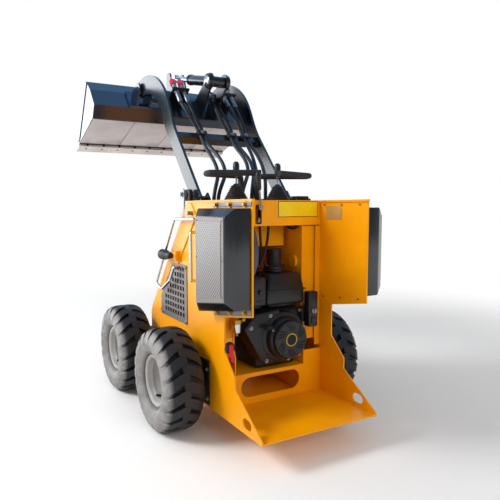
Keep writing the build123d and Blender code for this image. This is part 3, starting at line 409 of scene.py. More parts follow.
def bolt(bm, at, direction, across, index=0, washer=True):
    """A bolt head, sized by its width across, with a washer under it."""
    known = set(bm.faces)
    place = facing(at, direction)
    if washer:
        bmesh.ops.create_cone(bm, cap_ends=True, segments=20, radius1=across * 0.85, radius2=across * 0.85,
                              depth=across * 0.2, matrix=place @ Matrix.Translation((0, 0, across * 0.1)))
    bmesh.ops.create_cone(bm, cap_ends=True, segments=6, radius1=across * 0.58, radius2=across * 0.5,
                          depth=across * 0.5, matrix=place @ Matrix.Translation((0, 0, across * 0.45)))
    paint_new(bm, known, index)


print("outlines, boxes, turned shapes and bolts can be drawn")

# %% [markdown]
# Hoses, rods and tread bars are all one section carried along a line. A NURBS curve gives the line, because
# it bends evenly with no corner to hide, and Blender reads it back as points. The section is a ring
# extruded from place to place; each place turns with the line, so the ring never twists.

# %% lines and swept shapes


def smooth_line(points, order=3):
    curve = bpy.data.curves.new("line", "CURVE")
    curve.dimensions = "3D"
    spline = curve.splines.new("NURBS")
    spline.points.add(len(points) - 1)
    for knot, point in zip(spline.points, points):
        knot.co = (*point, 1.0)
    spline.order_u = order
    spline.use_endpoint_u = True
    spline.resolution_u = 8
    holder = bpy.data.objects.new("line", curve)
    mesh = bpy.data.meshes.new_from_object(holder)
    line = [v.co.copy() for v in mesh.vertices]
    bpy.data.objects.remove(holder)
    bpy.data.curves.remove(curve)
    bpy.data.meshes.remove(mesh)
    return line


def bent_rod(corners, reach):
    """The line of a straight rod bent at its corners: two extra points keep each bend near its corner."""
    pts = [Vector(c) for c in corners]
    control = [pts[0]]
    for before, here, after in zip(pts, pts[1:], pts[2:]):
        near = min(reach, 0.45 * (before - here).length, 0.45 * (after - here).length)
        control += [here + (before - here).normalized() * near, here,
                    here + (after - here).normalized() * near]
    return smooth_line(control + [pts[-1]])


def sweep(bm, places, sides, index=0):
    """Carries a ring of corners, one unit out in each place's own frame, from place to place."""
    known = set(bm.faces)
    ring = bmesh.ops.create_circle(bm, cap_ends=True, segments=sides, radius=1.0, matrix=places[0])
    edges = list({e for v in ring["verts"] for e in v.link_edges})
    for here, there in zip(places, places[1:]):
        grown = bmesh.ops.extrude_edge_only(bm, edges=edges)["geom"]
        verts = [g for g in grown if isinstance(g, bmesh.types.BMVert)]
        edges = [g for g in grown if isinstance(g, bmesh.types.BMEdge)]
        bmesh.ops.transform(bm, matrix=there @ here.inverted(), verts=verts)
    bmesh.ops.edgeloop_fill(bm, edges=edges)
    paint_new(bm, known, index)


def pipe(bm, line, radius, index=0, sides=14):
    runs = [(b - a).normalized() for a, b in zip(line, line[1:])]
    ways = [runs[0]] + [(a + b).normalized() for a, b in zip(runs, runs[1:])] + [runs[-1]]
    turn = facing((0, 0, 0), ways[0])
    size = Matrix.Diagonal((radius, radius, 1, 1))
    places = [Matrix.Translation(line[0]) @ turn @ size]
    for point, before, way in zip(line[1:], ways, ways[1:]):
        turn = before.rotation_difference(way).to_matrix().to_4x4() @ turn
        places.append(Matrix.Translation(point) @ turn @ size)
    sweep(bm, places, sides, index)


def on_side(sign, points):
    """Points given for the right side, mirrored where the sign is negative."""
    return [(sign * x, y, z) for x, y, z in points]


BOTH = (("left", -1), ("right", 1))
sample = bent_rod(((0, 0, 0), (0, 0, 90), (90, 0, 90)), 20)
print("a bent rod of 3 corners reads back as", len(sample), "points")

# %% [markdown]
# The tyres are wide, deep-lugged flotation tyres. Their bars start just past the middle, sweep back to the
# shoulder and run down the wall, and the two sides are half a pitch apart so that they interlock. The
# carcass is turned, and each bar is a square section swept over it, which gives the stepped edge that a
# bump map could not.

# %% tyres
BARS = 20
BAR_DEEP = 22.0
carcass = [(103, 59), (113, 61), (119, 70), (122, 68), (134, 80), (152, 87.5), (164, 89.5), (180, 88.5),
           (194, 83), (201, 74), (203, 56), (204, 28), (204, 0)]
carcass = carcass + [(r, -h) for r, h in carcass[-2::-1]]
# Top radius, distance from the middle, sweep in degrees, half width
bar_line = [(223.8, -14, 0, 16), (223.8, 12, 1.5, 21), (223, 38, 4.5, 23), (219.5, 58, 8, 23.5),
            (210, 75, 11, 23), (194, 86, 13.5, 20), (180, 90, 14.5, 15)]
WHEELS = {}
for row in ("front", "rear"):
    for side, sign in BOTH:
        low, high = (Vector(c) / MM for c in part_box(f"{row}_{side}_tyre"))
        WHEELS[row, side] = facing((low + high) / 2, (sign, 0, 0)), sign
for (row, side), (wheel, sign) in WHEELS.items():
    bm = bmesh.new()
    lathe(bm, carcass, wheel, steps=80)
    for bar in range(BARS):
        for half, offset in ((1, 0.0), (-1, 0.5)):
            places = []
            for top, across, back, wide in bar_line:
                turn = radians((bar + offset) * 360 / BARS + sign * back)
                seat = Matrix.Translation((top - BAR_DEEP / 2, 0, half * across))
                size = Matrix.Diagonal((BAR_DEEP / sqrt(2), wide * sqrt(2), 1, 1))
                seated = wheel @ Matrix.Rotation(turn, 4, "Z") @ seat @ size
                places.append(seated @ Matrix.Rotation(pi / 4, 4, "Z"))
            sweep(bm, places, 4)
    finish_piece(f"{row}_{side}_tread", bm, [tyre_rubber], f"{row}_{side}_wheel",
                 [f"{row}_{side}_tyre"], 32.0)

# %% [markdown]
# The wheels are pressed steel, deep on the outside: a rolled flange, a stepped barrel and a dish far inside
# with the hub and its bolts. One turned line makes the whole pressing, bolts are added round the hub, and a
# valve stem stands up.

# %% rims
HUB_BOLTS, HUB_BOLT_R = 5, 51.0
STEM_TURN = 4.4
dish = [(0, 24), (22, 24), (28, 20), (30, 10), (40, 0), (62, -6), (72, -4), (80, 4), (84, 18), (87, 22),
        (88, 38), (92, 42), (95, 54), (99, 60), (104, 63), (110, 63.5), (113, 61), (112, 59.4), (102, 59),
        (101.5, -59), (112, -59.4), (113, -63), (97, -63), (91, -10), (70, -12), (40, -14), (25, -24),
        (25, -149), (0, -149)]
for (row, side), (wheel, sign) in WHEELS.items():
    bm = bmesh.new()
    lathe(bm, dish, wheel, steps=64)
    for i in range(HUB_BOLTS):
        turn = 2 * pi * i / HUB_BOLTS
        bolt(bm, wheel @ Vector((HUB_BOLT_R * cos(turn), HUB_BOLT_R * sin(turn), -2)), (sign, 0, 0), 15, 1)
    stem = [wheel @ Vector((r * cos(STEM_TURN), r * sin(STEM_TURN), h)) for r, h in ((86, 24), (80, 46))]
    pipe(bm, stem, 5, 2, 10)
    finish_piece(f"{row}_{side}_dish", bm, [rim_silver, dull_steel, boot_rubber], f"{row}_{side}_wheel",
                 [f"{row}_{side}_rim"])

# %% [markdown]
# A bright bent rod guards each work lamp and may double as a handle, with a smaller grab behind it.
# The lamp sits on a folded yellow bracket. Rods are swept along a bent line, and the lamp is turned from
# its outline.

# %% lamps and guards
SKIN = 278.0
ROD_R = 7.0
GUARD_X, HANDLE_X = 308.0, 306.0
HANDLE_Y, HANDLE_LOW, HANDLE_HIGH = -385, 650, 862
GUARD = [(SKIN, -420, 920), (GUARD_X, -420, 920), (GUARD_X, -207, 918), (GUARD_X, 42, 590),
         (GUARD_X, -34, 566), (GUARD_X, -142, 625), (GUARD_X, -190, 690), (SKIN + 4, -190, 690)]
HANDLE = [(SKIN, HANDLE_Y, HANDLE_LOW), (HANDLE_X, HANDLE_Y, HANDLE_LOW), (HANDLE_X, HANDLE_Y, HANDLE_HIGH),
          (SKIN, HANDLE_Y, HANDLE_HIGH)]
# The lamp's bracket: width, depth, height and rounding of its foot, its web and its ear
BRACKET = (((SKIN, 284), (-214, -160), (716, 774), 2), ((283, 306), (-212, -204), (722, 768), 1),
           ((300, 306), (-210, -150), (728, 762), 2))
for side, sign in BOTH:
    bm = bmesh.new()
    pipe(bm, bent_rod(on_side(sign, GUARD), 34), ROD_R)
    pipe(bm, bent_rod(on_side(sign, HANDLE), 26), ROD_R)
    for foot in on_side(sign, (GUARD[0], HANDLE[0], HANDLE[-1])):
        lathe(bm, [(0, 2), (12, 2), (12, 0)], facing(foot, (sign, 0, 0)), 20)
    for xs, ys, zs, round_mm in BRACKET:
        box(bm, [sign * x for x in xs], ys, zs, round_mm, 1)
    lamp = facing((sign * 318, -120, 745), (0, 1, 0))
    can = [(0, -62), (13, -62), (17, -48), (19, -10), (24, 0), (24, 40), (25.5, 44), (22, 45)]
    lathe(bm, can, lamp, 32, 2)
    lathe(bm, [(22.5, 43), (17, 47), (0, 49)], lamp, 32, 3)
    finish_piece(f"lamp_and_guard_{side}", bm, [chrome, yellow, black_plastic, lens_clear], "chassis",
                 [f"lamp_guard_{side}"])

# %% [markdown]
# The two wing boxes most likely hold the coolers. Each is a folded black housing that narrows to a
# stainless frame with the punched sheet let into it. The housing is one outline extruded twice, the second
# time to a smaller outline, and the sheet is made by insetting the frame's face, so that both share their
# corners. Strips and zinc bolts clamp the box to its wing.

# %% wing boxes
# Outlines in the side plane: the housing at its foot and at its front, and the frame
BOX_BASE = [(-845, 600), (-533, 547), (-533, 967), (-845, 967)]
BOX_FACE = [(-824, 629), (-588, 592), (-588, 936), (-824, 936)]
PLATE = [(-822, 632), (-590, 595), (-590, 934), (-822, 934)]
BOX_RIM, BOX_FRONT = 342.0, 377.0
PLATE_BACK, PLATE_FRONT = 376.5, 379.8
FRAME_WIDE = 25.0
for side, sign in BOTH:
    bm = bmesh.new()
    housing = ((SKIN, BOX_BASE), (BOX_RIM, BOX_BASE), (BOX_FRONT, BOX_FACE))
    stack(bm, [[(sign * x, y, z) for y, z in ring] for x, ring in housing], 3.0, 0, 3)
    face = stack(bm, [[(sign * x, y, z) for y, z in PLATE] for x in (PLATE_BACK, PLATE_FRONT)], 0, 1)
    bmesh.ops.inset_region(bm, faces=[face], thickness=FRAME_WIDE)
    bmesh.ops.inset_region(bm, faces=[face], thickness=0.6, depth=-1.6)
    face.material_index = 2
    for y in (-810, -602):
        for z in (648, 780, 922):
            bolt(bm, (sign * 379.5, y, z), (sign, 0, 0), 5, 1, washer=False)
    finish_piece(f"cooler_box_{side}", bm, [box_black, stainless, punched], "chassis",
                 [f"wing_box_{side}"])

# %% clamp strips
STRIP_HIGH = [(-848, 971), (-547, 971), (-547, 990), (-848, 990)]
STRIP_LOW = [(-848, 576), (-556, 527), (-545, 540), (-545, 550), (-848, 600)]
STRIP_OUT, WING_IN = SKIN + 3, 272.0
STRIP_BOLTS = (-580, -693, -806)
LOW_SLOPE, INNER_SLOPE = 0.165, 0.1
for side, sign in BOTH:
    bm = bmesh.new()
    for strip in (STRIP_HIGH, STRIP_LOW):
        prism(bm, strip, sign * SKIN, sign * STRIP_OUT, 0.6)
    for y in STRIP_BOLTS:
        back = y - STRIP_BOLTS[0]
        for z in (981, 543 - back * LOW_SLOPE):
            bolt(bm, (sign * STRIP_OUT, y, z), (sign, 0, 0), 14, 1)
        for z in (979, 560 - back * INNER_SLOPE):
            bolt(bm, (sign * WING_IN, y, z), (-sign, 0, 0), 8, 1, washer=False)
    finish_piece(f"clamp_strips_{side}", bm, [stainless, zinc], "chassis")

# %% [markdown]
# Behind the slotted vent plates the machine is dark. A dark liner set a little way in, a sheet of painted
# shade, keeps the far side's light from showing through the slots, as the parts behind them would on the real
# machine. Bolts hold three corners of each plate.

# %% vent liners
VENT = [(-272, 437), (32, 437), (32, 521), (-117, 699), (-272, 699)]
for side, sign in BOTH:
    bm = bmesh.new()
    prism(bm, VENT, sign * 262, sign * 266, 1)
    for y, z in ((-268, 694), (-268, 441), (28, 441)):
        bolt(bm, (sign * 282, y, z), (sign, 0, 0), 9, 1)
    finish_piece(f"vent_liner_{side}", bm, [dark_bay, dull_steel], "chassis")

# %% [markdown]
# The machine is steered with two sticks in rubber bellows, and two padded loops are there to hold on to. A
# bellows is one turned zigzag, with the folds shrinking by the same step, and the padding is a fat swept
# tube with rounded corners.

# %% sticks and loops
DECK = 1000.0
FOLDS, FOLD_STEP, FOLD_TALL = 7, 4.4, 8.2
for side, sign in BOTH:
    low, high = (Vector(c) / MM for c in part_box(f"joystick_{side}"))
    base = facing(((low.x + high.x) / 2, (low.y + high.y) / 2, DECK), (0, 0, 1))
    folds = [(0, 0.2), (53.5, 0.2), (53.5, 5), (50, 8)]
    for i in range(FOLDS):
        outer, height = 50 - i * FOLD_STEP, 10 + i * FOLD_TALL
        folds += [(outer, height), (outer + 1.4, height + 2.6), (outer - 5.0, height + 5.6)]
    bm = bmesh.new()
    lathe(bm, folds + [(14, 68), (8, 74), (0, 74)], base, 40, 0)
    lathe(bm, [(5.5, 70), (5.5, 112)], base, 20, 1)
    knob = [(0, 106), (9, 106), (12, 112), (14.5, 132), (14.5, 154), (12, 164), (6, 169), (0, 170)]
    lathe(bm, knob, base, 28, 2)
    finish_piece(f"control_stick_{side}", bm, [boot_rubber, chrome, black_plastic], "chassis",
                 [f"joystick_{side}"])
    bm = bmesh.new()
    loop = [(42, -362, DECK), (42, -362, 1112), (262, -450, 1112), (258, -481, 1114), (47, -541, 1116)]
    pipe(bm, bent_rod(on_side(sign, loop), 34), 13, 0, 18)
    lathe(bm, [(0, 6), (24, 6), (24, 0)], facing((sign * 42, -362, DECK), (0, 0, 1)), 24, 1)
    finish_piece(f"foam_loop_{side}", bm, [foam_grip, satin_black], "chassis", [f"grab_loop_{side}"])

# %% [markdown]
# The engine is a small black single with a finned cylinder. Nearly all of it is black on black, so the
# shapes must come from rounded castings that catch light: a crankcase, a fan housing that swells to the
# left, and a key panel on the right.

# %% engine and key panel
CRANK_X, CRANK_Z = 52.0, 398.0
REAR = -560.0
FAN_REAR, COVER_REAR = REAR - 18, REAR + 6
FINS, FIN_PITCH, FIN_T = 7, 22, 12
FAN_HOUSING = [(-150, 452), (-96, 512), (30, 524), (60, 300), (-20, 284), (-66, 300)]
bm = bmesh.new()
boxes(bm, {
    "crankcase": ((-60, 150), (-520, -235), (252, 420), 12, 0, 3),
    "rear cover": ((-60, 164), (COVER_REAR, -470), (286, 524), 26, 0, 4),
    "cylinder": ((-86, 160), (-455, -300), (420, 526), 10, 0, 3),
    "key panel": ((171, 222), (-602, -562), (432, 592), 7, 1, 3),
    "panel bracket": ((160, 222), (-562, -546), (450, 520), 3, 1),
    "key": ((193.5, 198.5), (-616, -608), (493, 517), 1, 2),
    "button": ((183, 209), (-607, -602), (452, 476), 2, 1),
})
for i in range(FINS):
    y = -450 + i * FIN_PITCH
    box(bm, (-92, -66), (y, y + FIN_T), (420, 520), 2, 0)
stack(bm, [[(x, y, z) for x, z in FAN_HOUSING] for y in (-478, FAN_REAR)], 8, 0, 3)
lathe(bm, [(0, -24), (104, -24), (112, -20), (115, -8), (116, 20)],
      facing((CRANK_X, REAR, CRANK_Z), (0, 1, 0)), 64, 0)
lathe(bm, [(0, 8), (12, 8), (14, 5), (14, 0)], facing((196, -602, 505), (0, -1, 0)), 24, 2)
for x, z in ((-118, 456), (-40, 302), (-20, 500), (150, 300), (154, 505)):
    bolt(bm, (x, FAN_REAR if x < 60 else COVER_REAR, z), (0, -1, 0), 11, 2)
finish_piece("engine_and_key_panel", bm, [satin_black, black_plastic, dull_steel], "chassis",
             ["engine"])

# %% [markdown]
# The pull starter is what the eye finds first in the bay: a round cover with six groups of three curved
# slots about a plain disc in a gold ring. Slots are swept as dark grooves, because they are cooling
# openings in shadow.

# %% pull starter
SLOT_GROUPS, SLOTS = 6, 3
SLOT_CURVE = 0.009
bm = bmesh.new()
axis = facing((CRANK_X, REAR - 24, CRANK_Z), (0, -1, 0))
cover = [(96, 0), (96, 16), (93, 26), (88, 32), (85, 33), (84.5, 31), (84, 33), (83, 49), (79, 53.5),
         (31, 53.5), (30, 51), (0, 51)]
lathe(bm, cover, axis, 72, 0)
for group in range(SLOT_GROUPS):
    for slot_at in range(SLOTS):
        start = radians(group * 360 / SLOT_GROUPS + slot_at * 13 + 8)
        ways = [(r, start + SLOT_CURVE * (r - 40)) for r in (42, 50, 58, 66, 73)]
        pipe(bm, [axis @ Vector((r * cos(way), r * sin(way), 52.6)) for r, way in ways], 3.1, 1, 8)
lathe(bm, [(24, 50), (24, 53.5), (29, 53.5), (29, 50)], axis, 48, 2)
lathe(bm, [(0, 52.4), (24, 52.4)], axis, 48, 1)
for i in range(3):
    turn = radians(i * 120 + 30)
    bolt(bm, axis @ Vector((90 * cos(turn), 90 * sin(turn), 28)), (0, -1, 0), 9, 3)
pull_handle = (CRANK_X - 118, CRANK_X - 80), (REAR - 62, REAR - 40), (CRANK_Z + 50, CRANK_Z + 70)
box(bm, *pull_handle, 8, 1, 3)
finish_piece("recoil_cover", bm, [satin_black, dark_bay, gold, dull_steel], "chassis",
             ["recoil_starter"])

# %% [markdown]
# Above the engine sit the tank, the air box and the filler neck, and a fuel filter with a steel bowl hangs
# at the left. The tank is two shells with a seam, drawn in at the top; cables run down past it from the
# deck.

# %% tank and air box
TANK_BASE = [(-34, -576), (168, -576), (168, -426), (-34, -426)]
TANK_TOP = [(-14, -562), (158, -562), (158, -426), (-14, -426)]
bm = bmesh.new()
shells = ((540, TANK_BASE), (606, TANK_BASE), (680, TANK_TOP))
stack(bm, [[(x, y, z) for x, y in ring] for z, ring in shells], 18, 0, 4)
boxes(bm, {
    "tank seam": ((-36, 170), (-578, -424), (604, 610), 2.5, 0),
    "tank cradle": ((0, 130), (-540, -440), (528, 545), 3, 0),
})
finish_piece("fuel_tank_shell", bm, [satin_black], "chassis", ["fuel_tank"])
bm = bmesh.new()
boxes(bm, {
    "air box": ((-106, -40), (-580, -420), (545, 672), 11, 0, 4),
    "lid seam": ((-106.5, -39.5), (-540, -536), (546, 671), 1.5, 0),
    "lower rib": ((-90, -56), (-582, -578), (566, 571), 1, 0),
    "upper rib": ((-90, -56), (-582, -578), (650, 655), 1, 0),
    "foot": ((-95, -45), (-545, -440), (530, 560), 4, 0),
})
lathe(bm, [(0, 10), (9, 10), (11, 6), (11, 0)], facing((-73, -580, 608), (0, -1, 0)), 20, 0)
finish_piece("air_box", bm, [black_plastic], "chassis", ["air_filter"])

# %% filler neck and fuel filter
NECK_BOLTS, NECK_BOLT_R = 6, 41.0
bm = bmesh.new()
neck = facing((62, -482, 680), (0, 0, 1))
flange = [(0, 0), (46, 0), (50, 4), (50, 12), (46, 15), (46, 24), (50, 27), (48, 31), (35, 33)]
tube = [(33, 38), (33, 96), (35, 98), (35, 103), (30, 106), (0, 106)]
lathe(bm, flange + tube, neck, 48, 0)
# A known fault: a frame facing up has its X turned round, so these bolts stand 82 mm left of their flange.
for i in range(NECK_BOLTS):
    turn = 2 * pi * i / NECK_BOLTS
    ring = Vector((NECK_BOLT_R * (cos(turn) - 1), NECK_BOLT_R * sin(turn), 30))
    bolt(bm, neck @ Vector((NECK_BOLT_R, 0, 0)) + ring, (0, 0, 1), 6, 1, washer=False)
finish_piece("filler_cap_and_neck", bm, [satin_black, dull_steel], "chassis", ["filler_neck"])
bm = bmesh.new()
bowl = facing((-183, -566, 440), (0, 0, 1))
lathe(bm, [(0, 0), (14, 0), (20, 6), (21, 40), (21, 44), (0, 44)], bowl, 28, 0)
lathe(bm, [(0, 43), (24, 43), (25, 48), (25, 60), (20, 64), (12, 66), (12, 76), (0, 76)], bowl, 28, 1)
lathe(bm, [(0, -10), (7, -10), (8, 0)], bowl, 12, 1)
boxes(bm, {"filter bracket": ((-176, -140), (-570, -560), (488, 502), 2, 1)})
for at, to in (((-183, -566, 514), (-150, -470, 560)), ((-158, -566, 495), (-110, -500, 470))):
    route = [at, Vector(at) + Vector((0, 0, 26)), Vector(to) + Vector((0, -30, 20)), to]
    pipe(bm, smooth_line(route), 4.5, 2, 10)
finish_piece("fuel_filter", bm, [chrome, zinc, hose_rubber], "chassis")

# %% cables and horn
CABLE_R = 6.0
bm = bmesh.new()
for line in (((20, -500, 994), (20, -505, 880), (0, -520, 780), (-30, -500, 700), (-44, -470, 650)),
             ((-10, -470, 994), (-14, -470, 860), (30, -440, 790), (10, -440, 700)),
             ((-120, -520, 860), (-90, -540, 770), (-110, -530, 700), (-130, -480, 640))):
    pipe(bm, smooth_line(line, 4), CABLE_R, 0, 10)
lathe(bm, [(0, 10), (38, 10), (44, 2), (44, -10), (20, -16), (0, -16)],
      facing((153, -500, 912), (0, -1, 0)), 36, 1)
boxes(bm, {"horn bracket": ((146, 160), (-510, -490), (950, 994), 2, 1)})
finish_piece("bay_cables_and_horn", bm, [hose_rubber, black_plastic], "chassis")

# %% [markdown]
# Small controls: the battery switch with its red key, the throttle with its slotted guide, the lid on the
# deck, and two blank plates where the machine carries its signs. Plates are thin rounded boxes, one over
# the other for the border.

# %% switch and throttle
bm = bmesh.new()
boxes(bm, {"switch plate": ((-272, -236), (-628, -624), (360, 440), 1.5, 0)})
lathe(bm, [(0, 14), (15, 14), (22, 10), (24, 0)], facing((-252, -628, 404), (0, -1, 0)), 28, 1)
prism(bm, [(-662, 350), (-643, 350), (-643, 420), (-652, 420)], -261, -245, 3, 2)
finish_piece("isolator_switch", bm, [yellow, black_plastic, red_plastic], "chassis",
             ["battery_switch"])
bm = bmesh.new()
slot = [(-60, -546, 978), (-47, -546, 978), (-47, -546, 900), (-73, -546, 900), (-73, -546, 978),
        (-60, -546, 978)]
pipe(bm, bent_rod(slot, 13), 2.2, 1, 8)
prism(bm, [(-562, 958), (-541, 958), (-541, 976), (-552, 982), (-562, 976)], -64, -48, 1.5, 0)
pipe(bm, smooth_line([(-56, -558, 966), (-64, -568, 1000), (-74, -574, 1046)]), 4.2, 0, 12)
lathe(bm, [(0, 0), (7, 0), (9, 8), (11, 40), (11.5, 62), (9, 72), (4, 76), (0, 76)],
      facing((-73, -573.5, 1042), (-0.14, -0.03, 1)), 20, 1)
boxes(bm, {"slot stop": ((-66, -54), (-552, -541), (905, 925), 2, 0)})
finish_piece("throttle", bm, [dull_steel, black_plastic], "chassis", ["throttle_lever"])

# %% deck lid and blank plates
bm = bmesh.new()
boxes(bm, {
    "lid flange": ((168, 250), (-505, -440), (DECK, DECK + 9), 3, 0),
    "lid": ((174, 244), (-500, -445), (DECK + 8, DECK + 20), 6, 0, 3),
})
finish_piece("deck_lid", bm, [black_plastic], "chassis", ["deck_cap"])
bm = bmesh.new()
boxes(bm, {
    "sign border": ((41, 257), (-545.8, -545), (926, 996), 0.2, 1),
    "sign face": ((43.5, 254.5), (-546.4, -545.4), (928.5, 993.5), 0.3, 0),
})
finish_piece("blank_sign", bm, [sign_yellow, black_plastic], "chassis")
bm = bmesh.new()
boxes(bm, {"data plate": ((270.6, 272), (-695, -590), (914, 973), 0.4, 0)})
finish_piece("blank_data_plate", bm, [sign_grey], "chassis")

# %% [markdown]
# Each lift arm is a thick plate: straight from the deck, then curved forward into a rounded head at the
# hitch pin. In the machine's pocket it is a fork of two plates about the lift cylinder. Its outline is one
# NURBS line steered by points on two rings about the bend, so that the curve has no corners, and the plate
# is that outline pulled to its thickness.

# %% lift arms
ARM_LEAN = radians(49.7)
ARM_WAY = Vector((0, cos(ARM_LEAN), sin(ARM_LEAN)))
ARM_BELOW = Vector((0, sin(ARM_LEAN), -cos(ARM_LEAN)))
ARM_START = Vector((0, -313, 997))
PIVOT, HITCH_PIN, BEND, LIFT_EYE = (-475, 720), (418, 1629), (341, 1305), (-312.4, 882.6)
ARM_HALF, FORK_HALF = 39.0, 45.0
PLATE_IN, PLATE_OUT = 228.0, 242.0
ARM_IN, ARM_OUT, FORK_T = 195.0, 245.0, 10.0
# Along the arm from and to, below it from and to: the ends of the cross tube and the head plate
CARRIED = ((394, 434, -20, 20), (550, 690, -14, -4))


def on_arm(x, along, below):
    return Vector((x, 0, 0)) + ARM_START + ARM_WAY * along + ARM_BELOW * below


def arm_outline(places):
    """An outline in the side plane, from places along the arm and below it."""
    return [on_arm(0, along, below).yz[:] for along, below in places]


def on_ring(centre, radius, angles):
    turns = [radians(angle) for angle in angles]
    return [Vector((0, centre[0] + radius * cos(t), centre[1] + radius * sin(t))) for t in turns]


def arm_bar(bm, sign, low, high, back, front, x_out, round_mm=0.0):
    outline = arm_outline(((low, back), (high, back), (high, front), (low, front)))
    prism(bm, outline, sign * ARM_IN, sign * x_out, round_mm)


# %% arm outline
head = on_ring(BEND, 382, (143, 126, 109, 92, 78)) + on_ring(HITCH_PIN, 49, (56, 18, -20, -60))
head += on_ring(BEND, 285, (79, 92, 106, 120, 134, 147))
front_edge = [on_arm(0, along, ARM_HALF) for along in (536, 430, 330, -30)]
rear_edge = [on_arm(0, along, -ARM_HALF) for along in (-30, 330, 380, 470)]
bend = smooth_line(rear_edge[1:] + head + front_edge[:-1], 3)
arm_line = [point.yz[:] for point in rear_edge[:1] + bend + front_edge[-1:]]
fork = arm_outline(((-20, -FORK_HALF), (14, -FORK_HALF), (14, FORK_HALF), (-60, 62), (-118, 104),
                    (-150, 100)))
fork += [(-460, 682), (-500, 690), (-514, 736), (-490, 770)]
print("arm outline of", len(arm_line), "points, fork of", len(fork))

# %% arm plates
for side, sign in BOTH:
    bm = bmesh.new()
    prism(bm, arm_line, sign * PLATE_IN, sign * PLATE_OUT)
    for x in (ARM_IN, ARM_OUT - FORK_T):
        prism(bm, fork, sign * x, sign * (x + FORK_T), 1)
    lathe(bm, [(34, 0), (34, ARM_OUT - ARM_IN)], facing((sign * ARM_IN, *PIVOT), (sign, 0, 0)), 32)
    lathe(bm, [(0, 7), (16, 7), (19, 4), (19, 0)], facing((sign * ARM_OUT, *LIFT_EYE), (sign, 0, 0)), 28)
    for x, end in ((PLATE_IN, ARM_IN), (PLATE_OUT, ARM_OUT)):
        long = abs(end - x)
        outward = (sign if end > x else -sign, 0, 0)
        lathe(bm, [(15.2, long), (30, long), (32, long - 2), (32, 0)],
              facing((sign * x, *HITCH_PIN), outward), 36)
    for ends in CARRIED:
        arm_bar(bm, sign, *ends, PLATE_IN + 1)
    arm_bar(bm, sign, -20, -6, -FORK_HALF, FORK_HALF, ARM_OUT, 1)
    finish_piece(f"plate_arm_{side}", bm, [arm_black], "lift", [f"lift_arm_{side}"])

# %% [markdown]
# On the head of the arms sit four quick couplings under red dust caps. They are turned parts in a folded
# bracket, and their places are given along the arm and below it, because the bracket stands square to the
# arm.

# %% couplings
COUPLERS = {"left": (-170, -128), "right": (104, 146)}
COUPLER_UP, COUPLER_OUT = 675.0, -70.0
BRACKET_T = 8.0
for side, xs in COUPLERS.items():
    bm = bmesh.new()
    top = COUPLER_UP + BRACKET_T
    plate = arm_outline(((COUPLER_UP, -14), (top, -14), (top, -96), (COUPLER_UP, -96)))
    prism(bm, plate, min(xs) - 24, max(xs) + 24, 1, 0)
    for x in xs:
        up = facing(on_arm(x, top, COUPLER_OUT), ARM_WAY)
        lathe(bm, [(16, 0), (16, 8), (13, 10), (13, 42), (11, 44), (11, 50)], up, 24, 1)
        lathe(bm, [(12, 46), (15.5, 49), (15.5, 78), (12.5, 86), (6, 89.5), (0, 90)], up, 24, 2)
        down = facing(on_arm(x, COUPLER_UP, COUPLER_OUT), -ARM_WAY)
        lathe(bm, [(14, 0), (14, 10), (10, 12), (10, 18), (12, 20), (12, 44), (9, 48)], down, 24, 1)
    finish_piece(f"hose_couplings_{side}", bm, [satin_black, dull_steel, red_plastic], "lift",
                 [f"aux_couplers_{side}"])

# %% [markdown]
# Six hoses run from the couplings and the tilt cylinder, through clamps on the cross tube, to the deck.
# Above the clamps they ride on the arms. Below, each one hangs in a slack bend, made as a still piece that is
# not tied to the arms.

# %% hoses
HOSE_R = 9.0
CLAMP_AT = 414.0
HOSE_TOP = COUPLER_UP - 38


def coupler_end(side, which):
    return on_arm(COUPLERS[side][which], HOSE_TOP, COUPLER_OUT)


# Name, upper end, X half way to the clamp, X at the clamp, two points on the way down, deck end
HOSES = (
    ("outer_left", coupler_end("left", 0), -140, -108, (-106, -196, 1216), (-106, -292, 1116),
     (-166, -333, 990)),
    ("inner_left", coupler_end("left", 1), -112, -86, (-70, -196, 1226), (-62, -292, 1118),
     (-144, -333, 990)),
    ("tilt_low", (8, 34, 1540), 24, 63, (72, -196, 1226), (58, -290, 1128), (-36, -362, 1000)),
    ("tilt_high", (30, 60, 1552), 66, 84, (96, -196, 1228), (84, -290, 1128), (16, -362, 1000)),
    ("inner_right", coupler_end("right", 0), 128, 143, (124, -196, 1226), (92, -290, 1124), (52, -362, 1000)),
    ("outer_right", coupler_end("right", 1), 158, 164, (160, -196, 1226), (142, -290, 1120),
     (92, -362, 1000)),
)


def line_length(points):
    return sum((b - a).length for a, b in zip(points, points[1:]))


for name, start, middle_x, clamp_x, high, low, foot in HOSES:
    clamp, start = on_arm(clamp_x, CLAMP_AT, -32), Vector(start)
    split = clamp - ARM_WAY * 26
    down_arm = [start, start - ARM_WAY * 60, on_arm(middle_x, 500, -60), clamp + ARM_WAY * 40, clamp, split]
    slack = [split, split - ARM_WAY * 60, high, low, Vector(foot) + Vector((0, 0, 60)), foot]
    upper, lower = smooth_line(down_arm, 4), smooth_line(slack, 4)
    bm = bmesh.new()
    pipe(bm, upper, HOSE_R, 0, 12)
    lathe(bm, [(8.5, -6), (13, -6), (13, 36), (10, 40)], facing(start, -ARM_WAY), 20, 1)
    finish_piece(f"hose_{name}_upper", bm, [hose_rubber, dull_steel], "lift")
    bm = bmesh.new()
    pipe(bm, lower, HOSE_R, 0, 12)
    hose = finish_piece(f"hose_{name}_lower", bm, [hose_rubber], None)
    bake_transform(hose)
    print(name, "hose", round(line_length(upper) + line_length(lower)), "mm long")

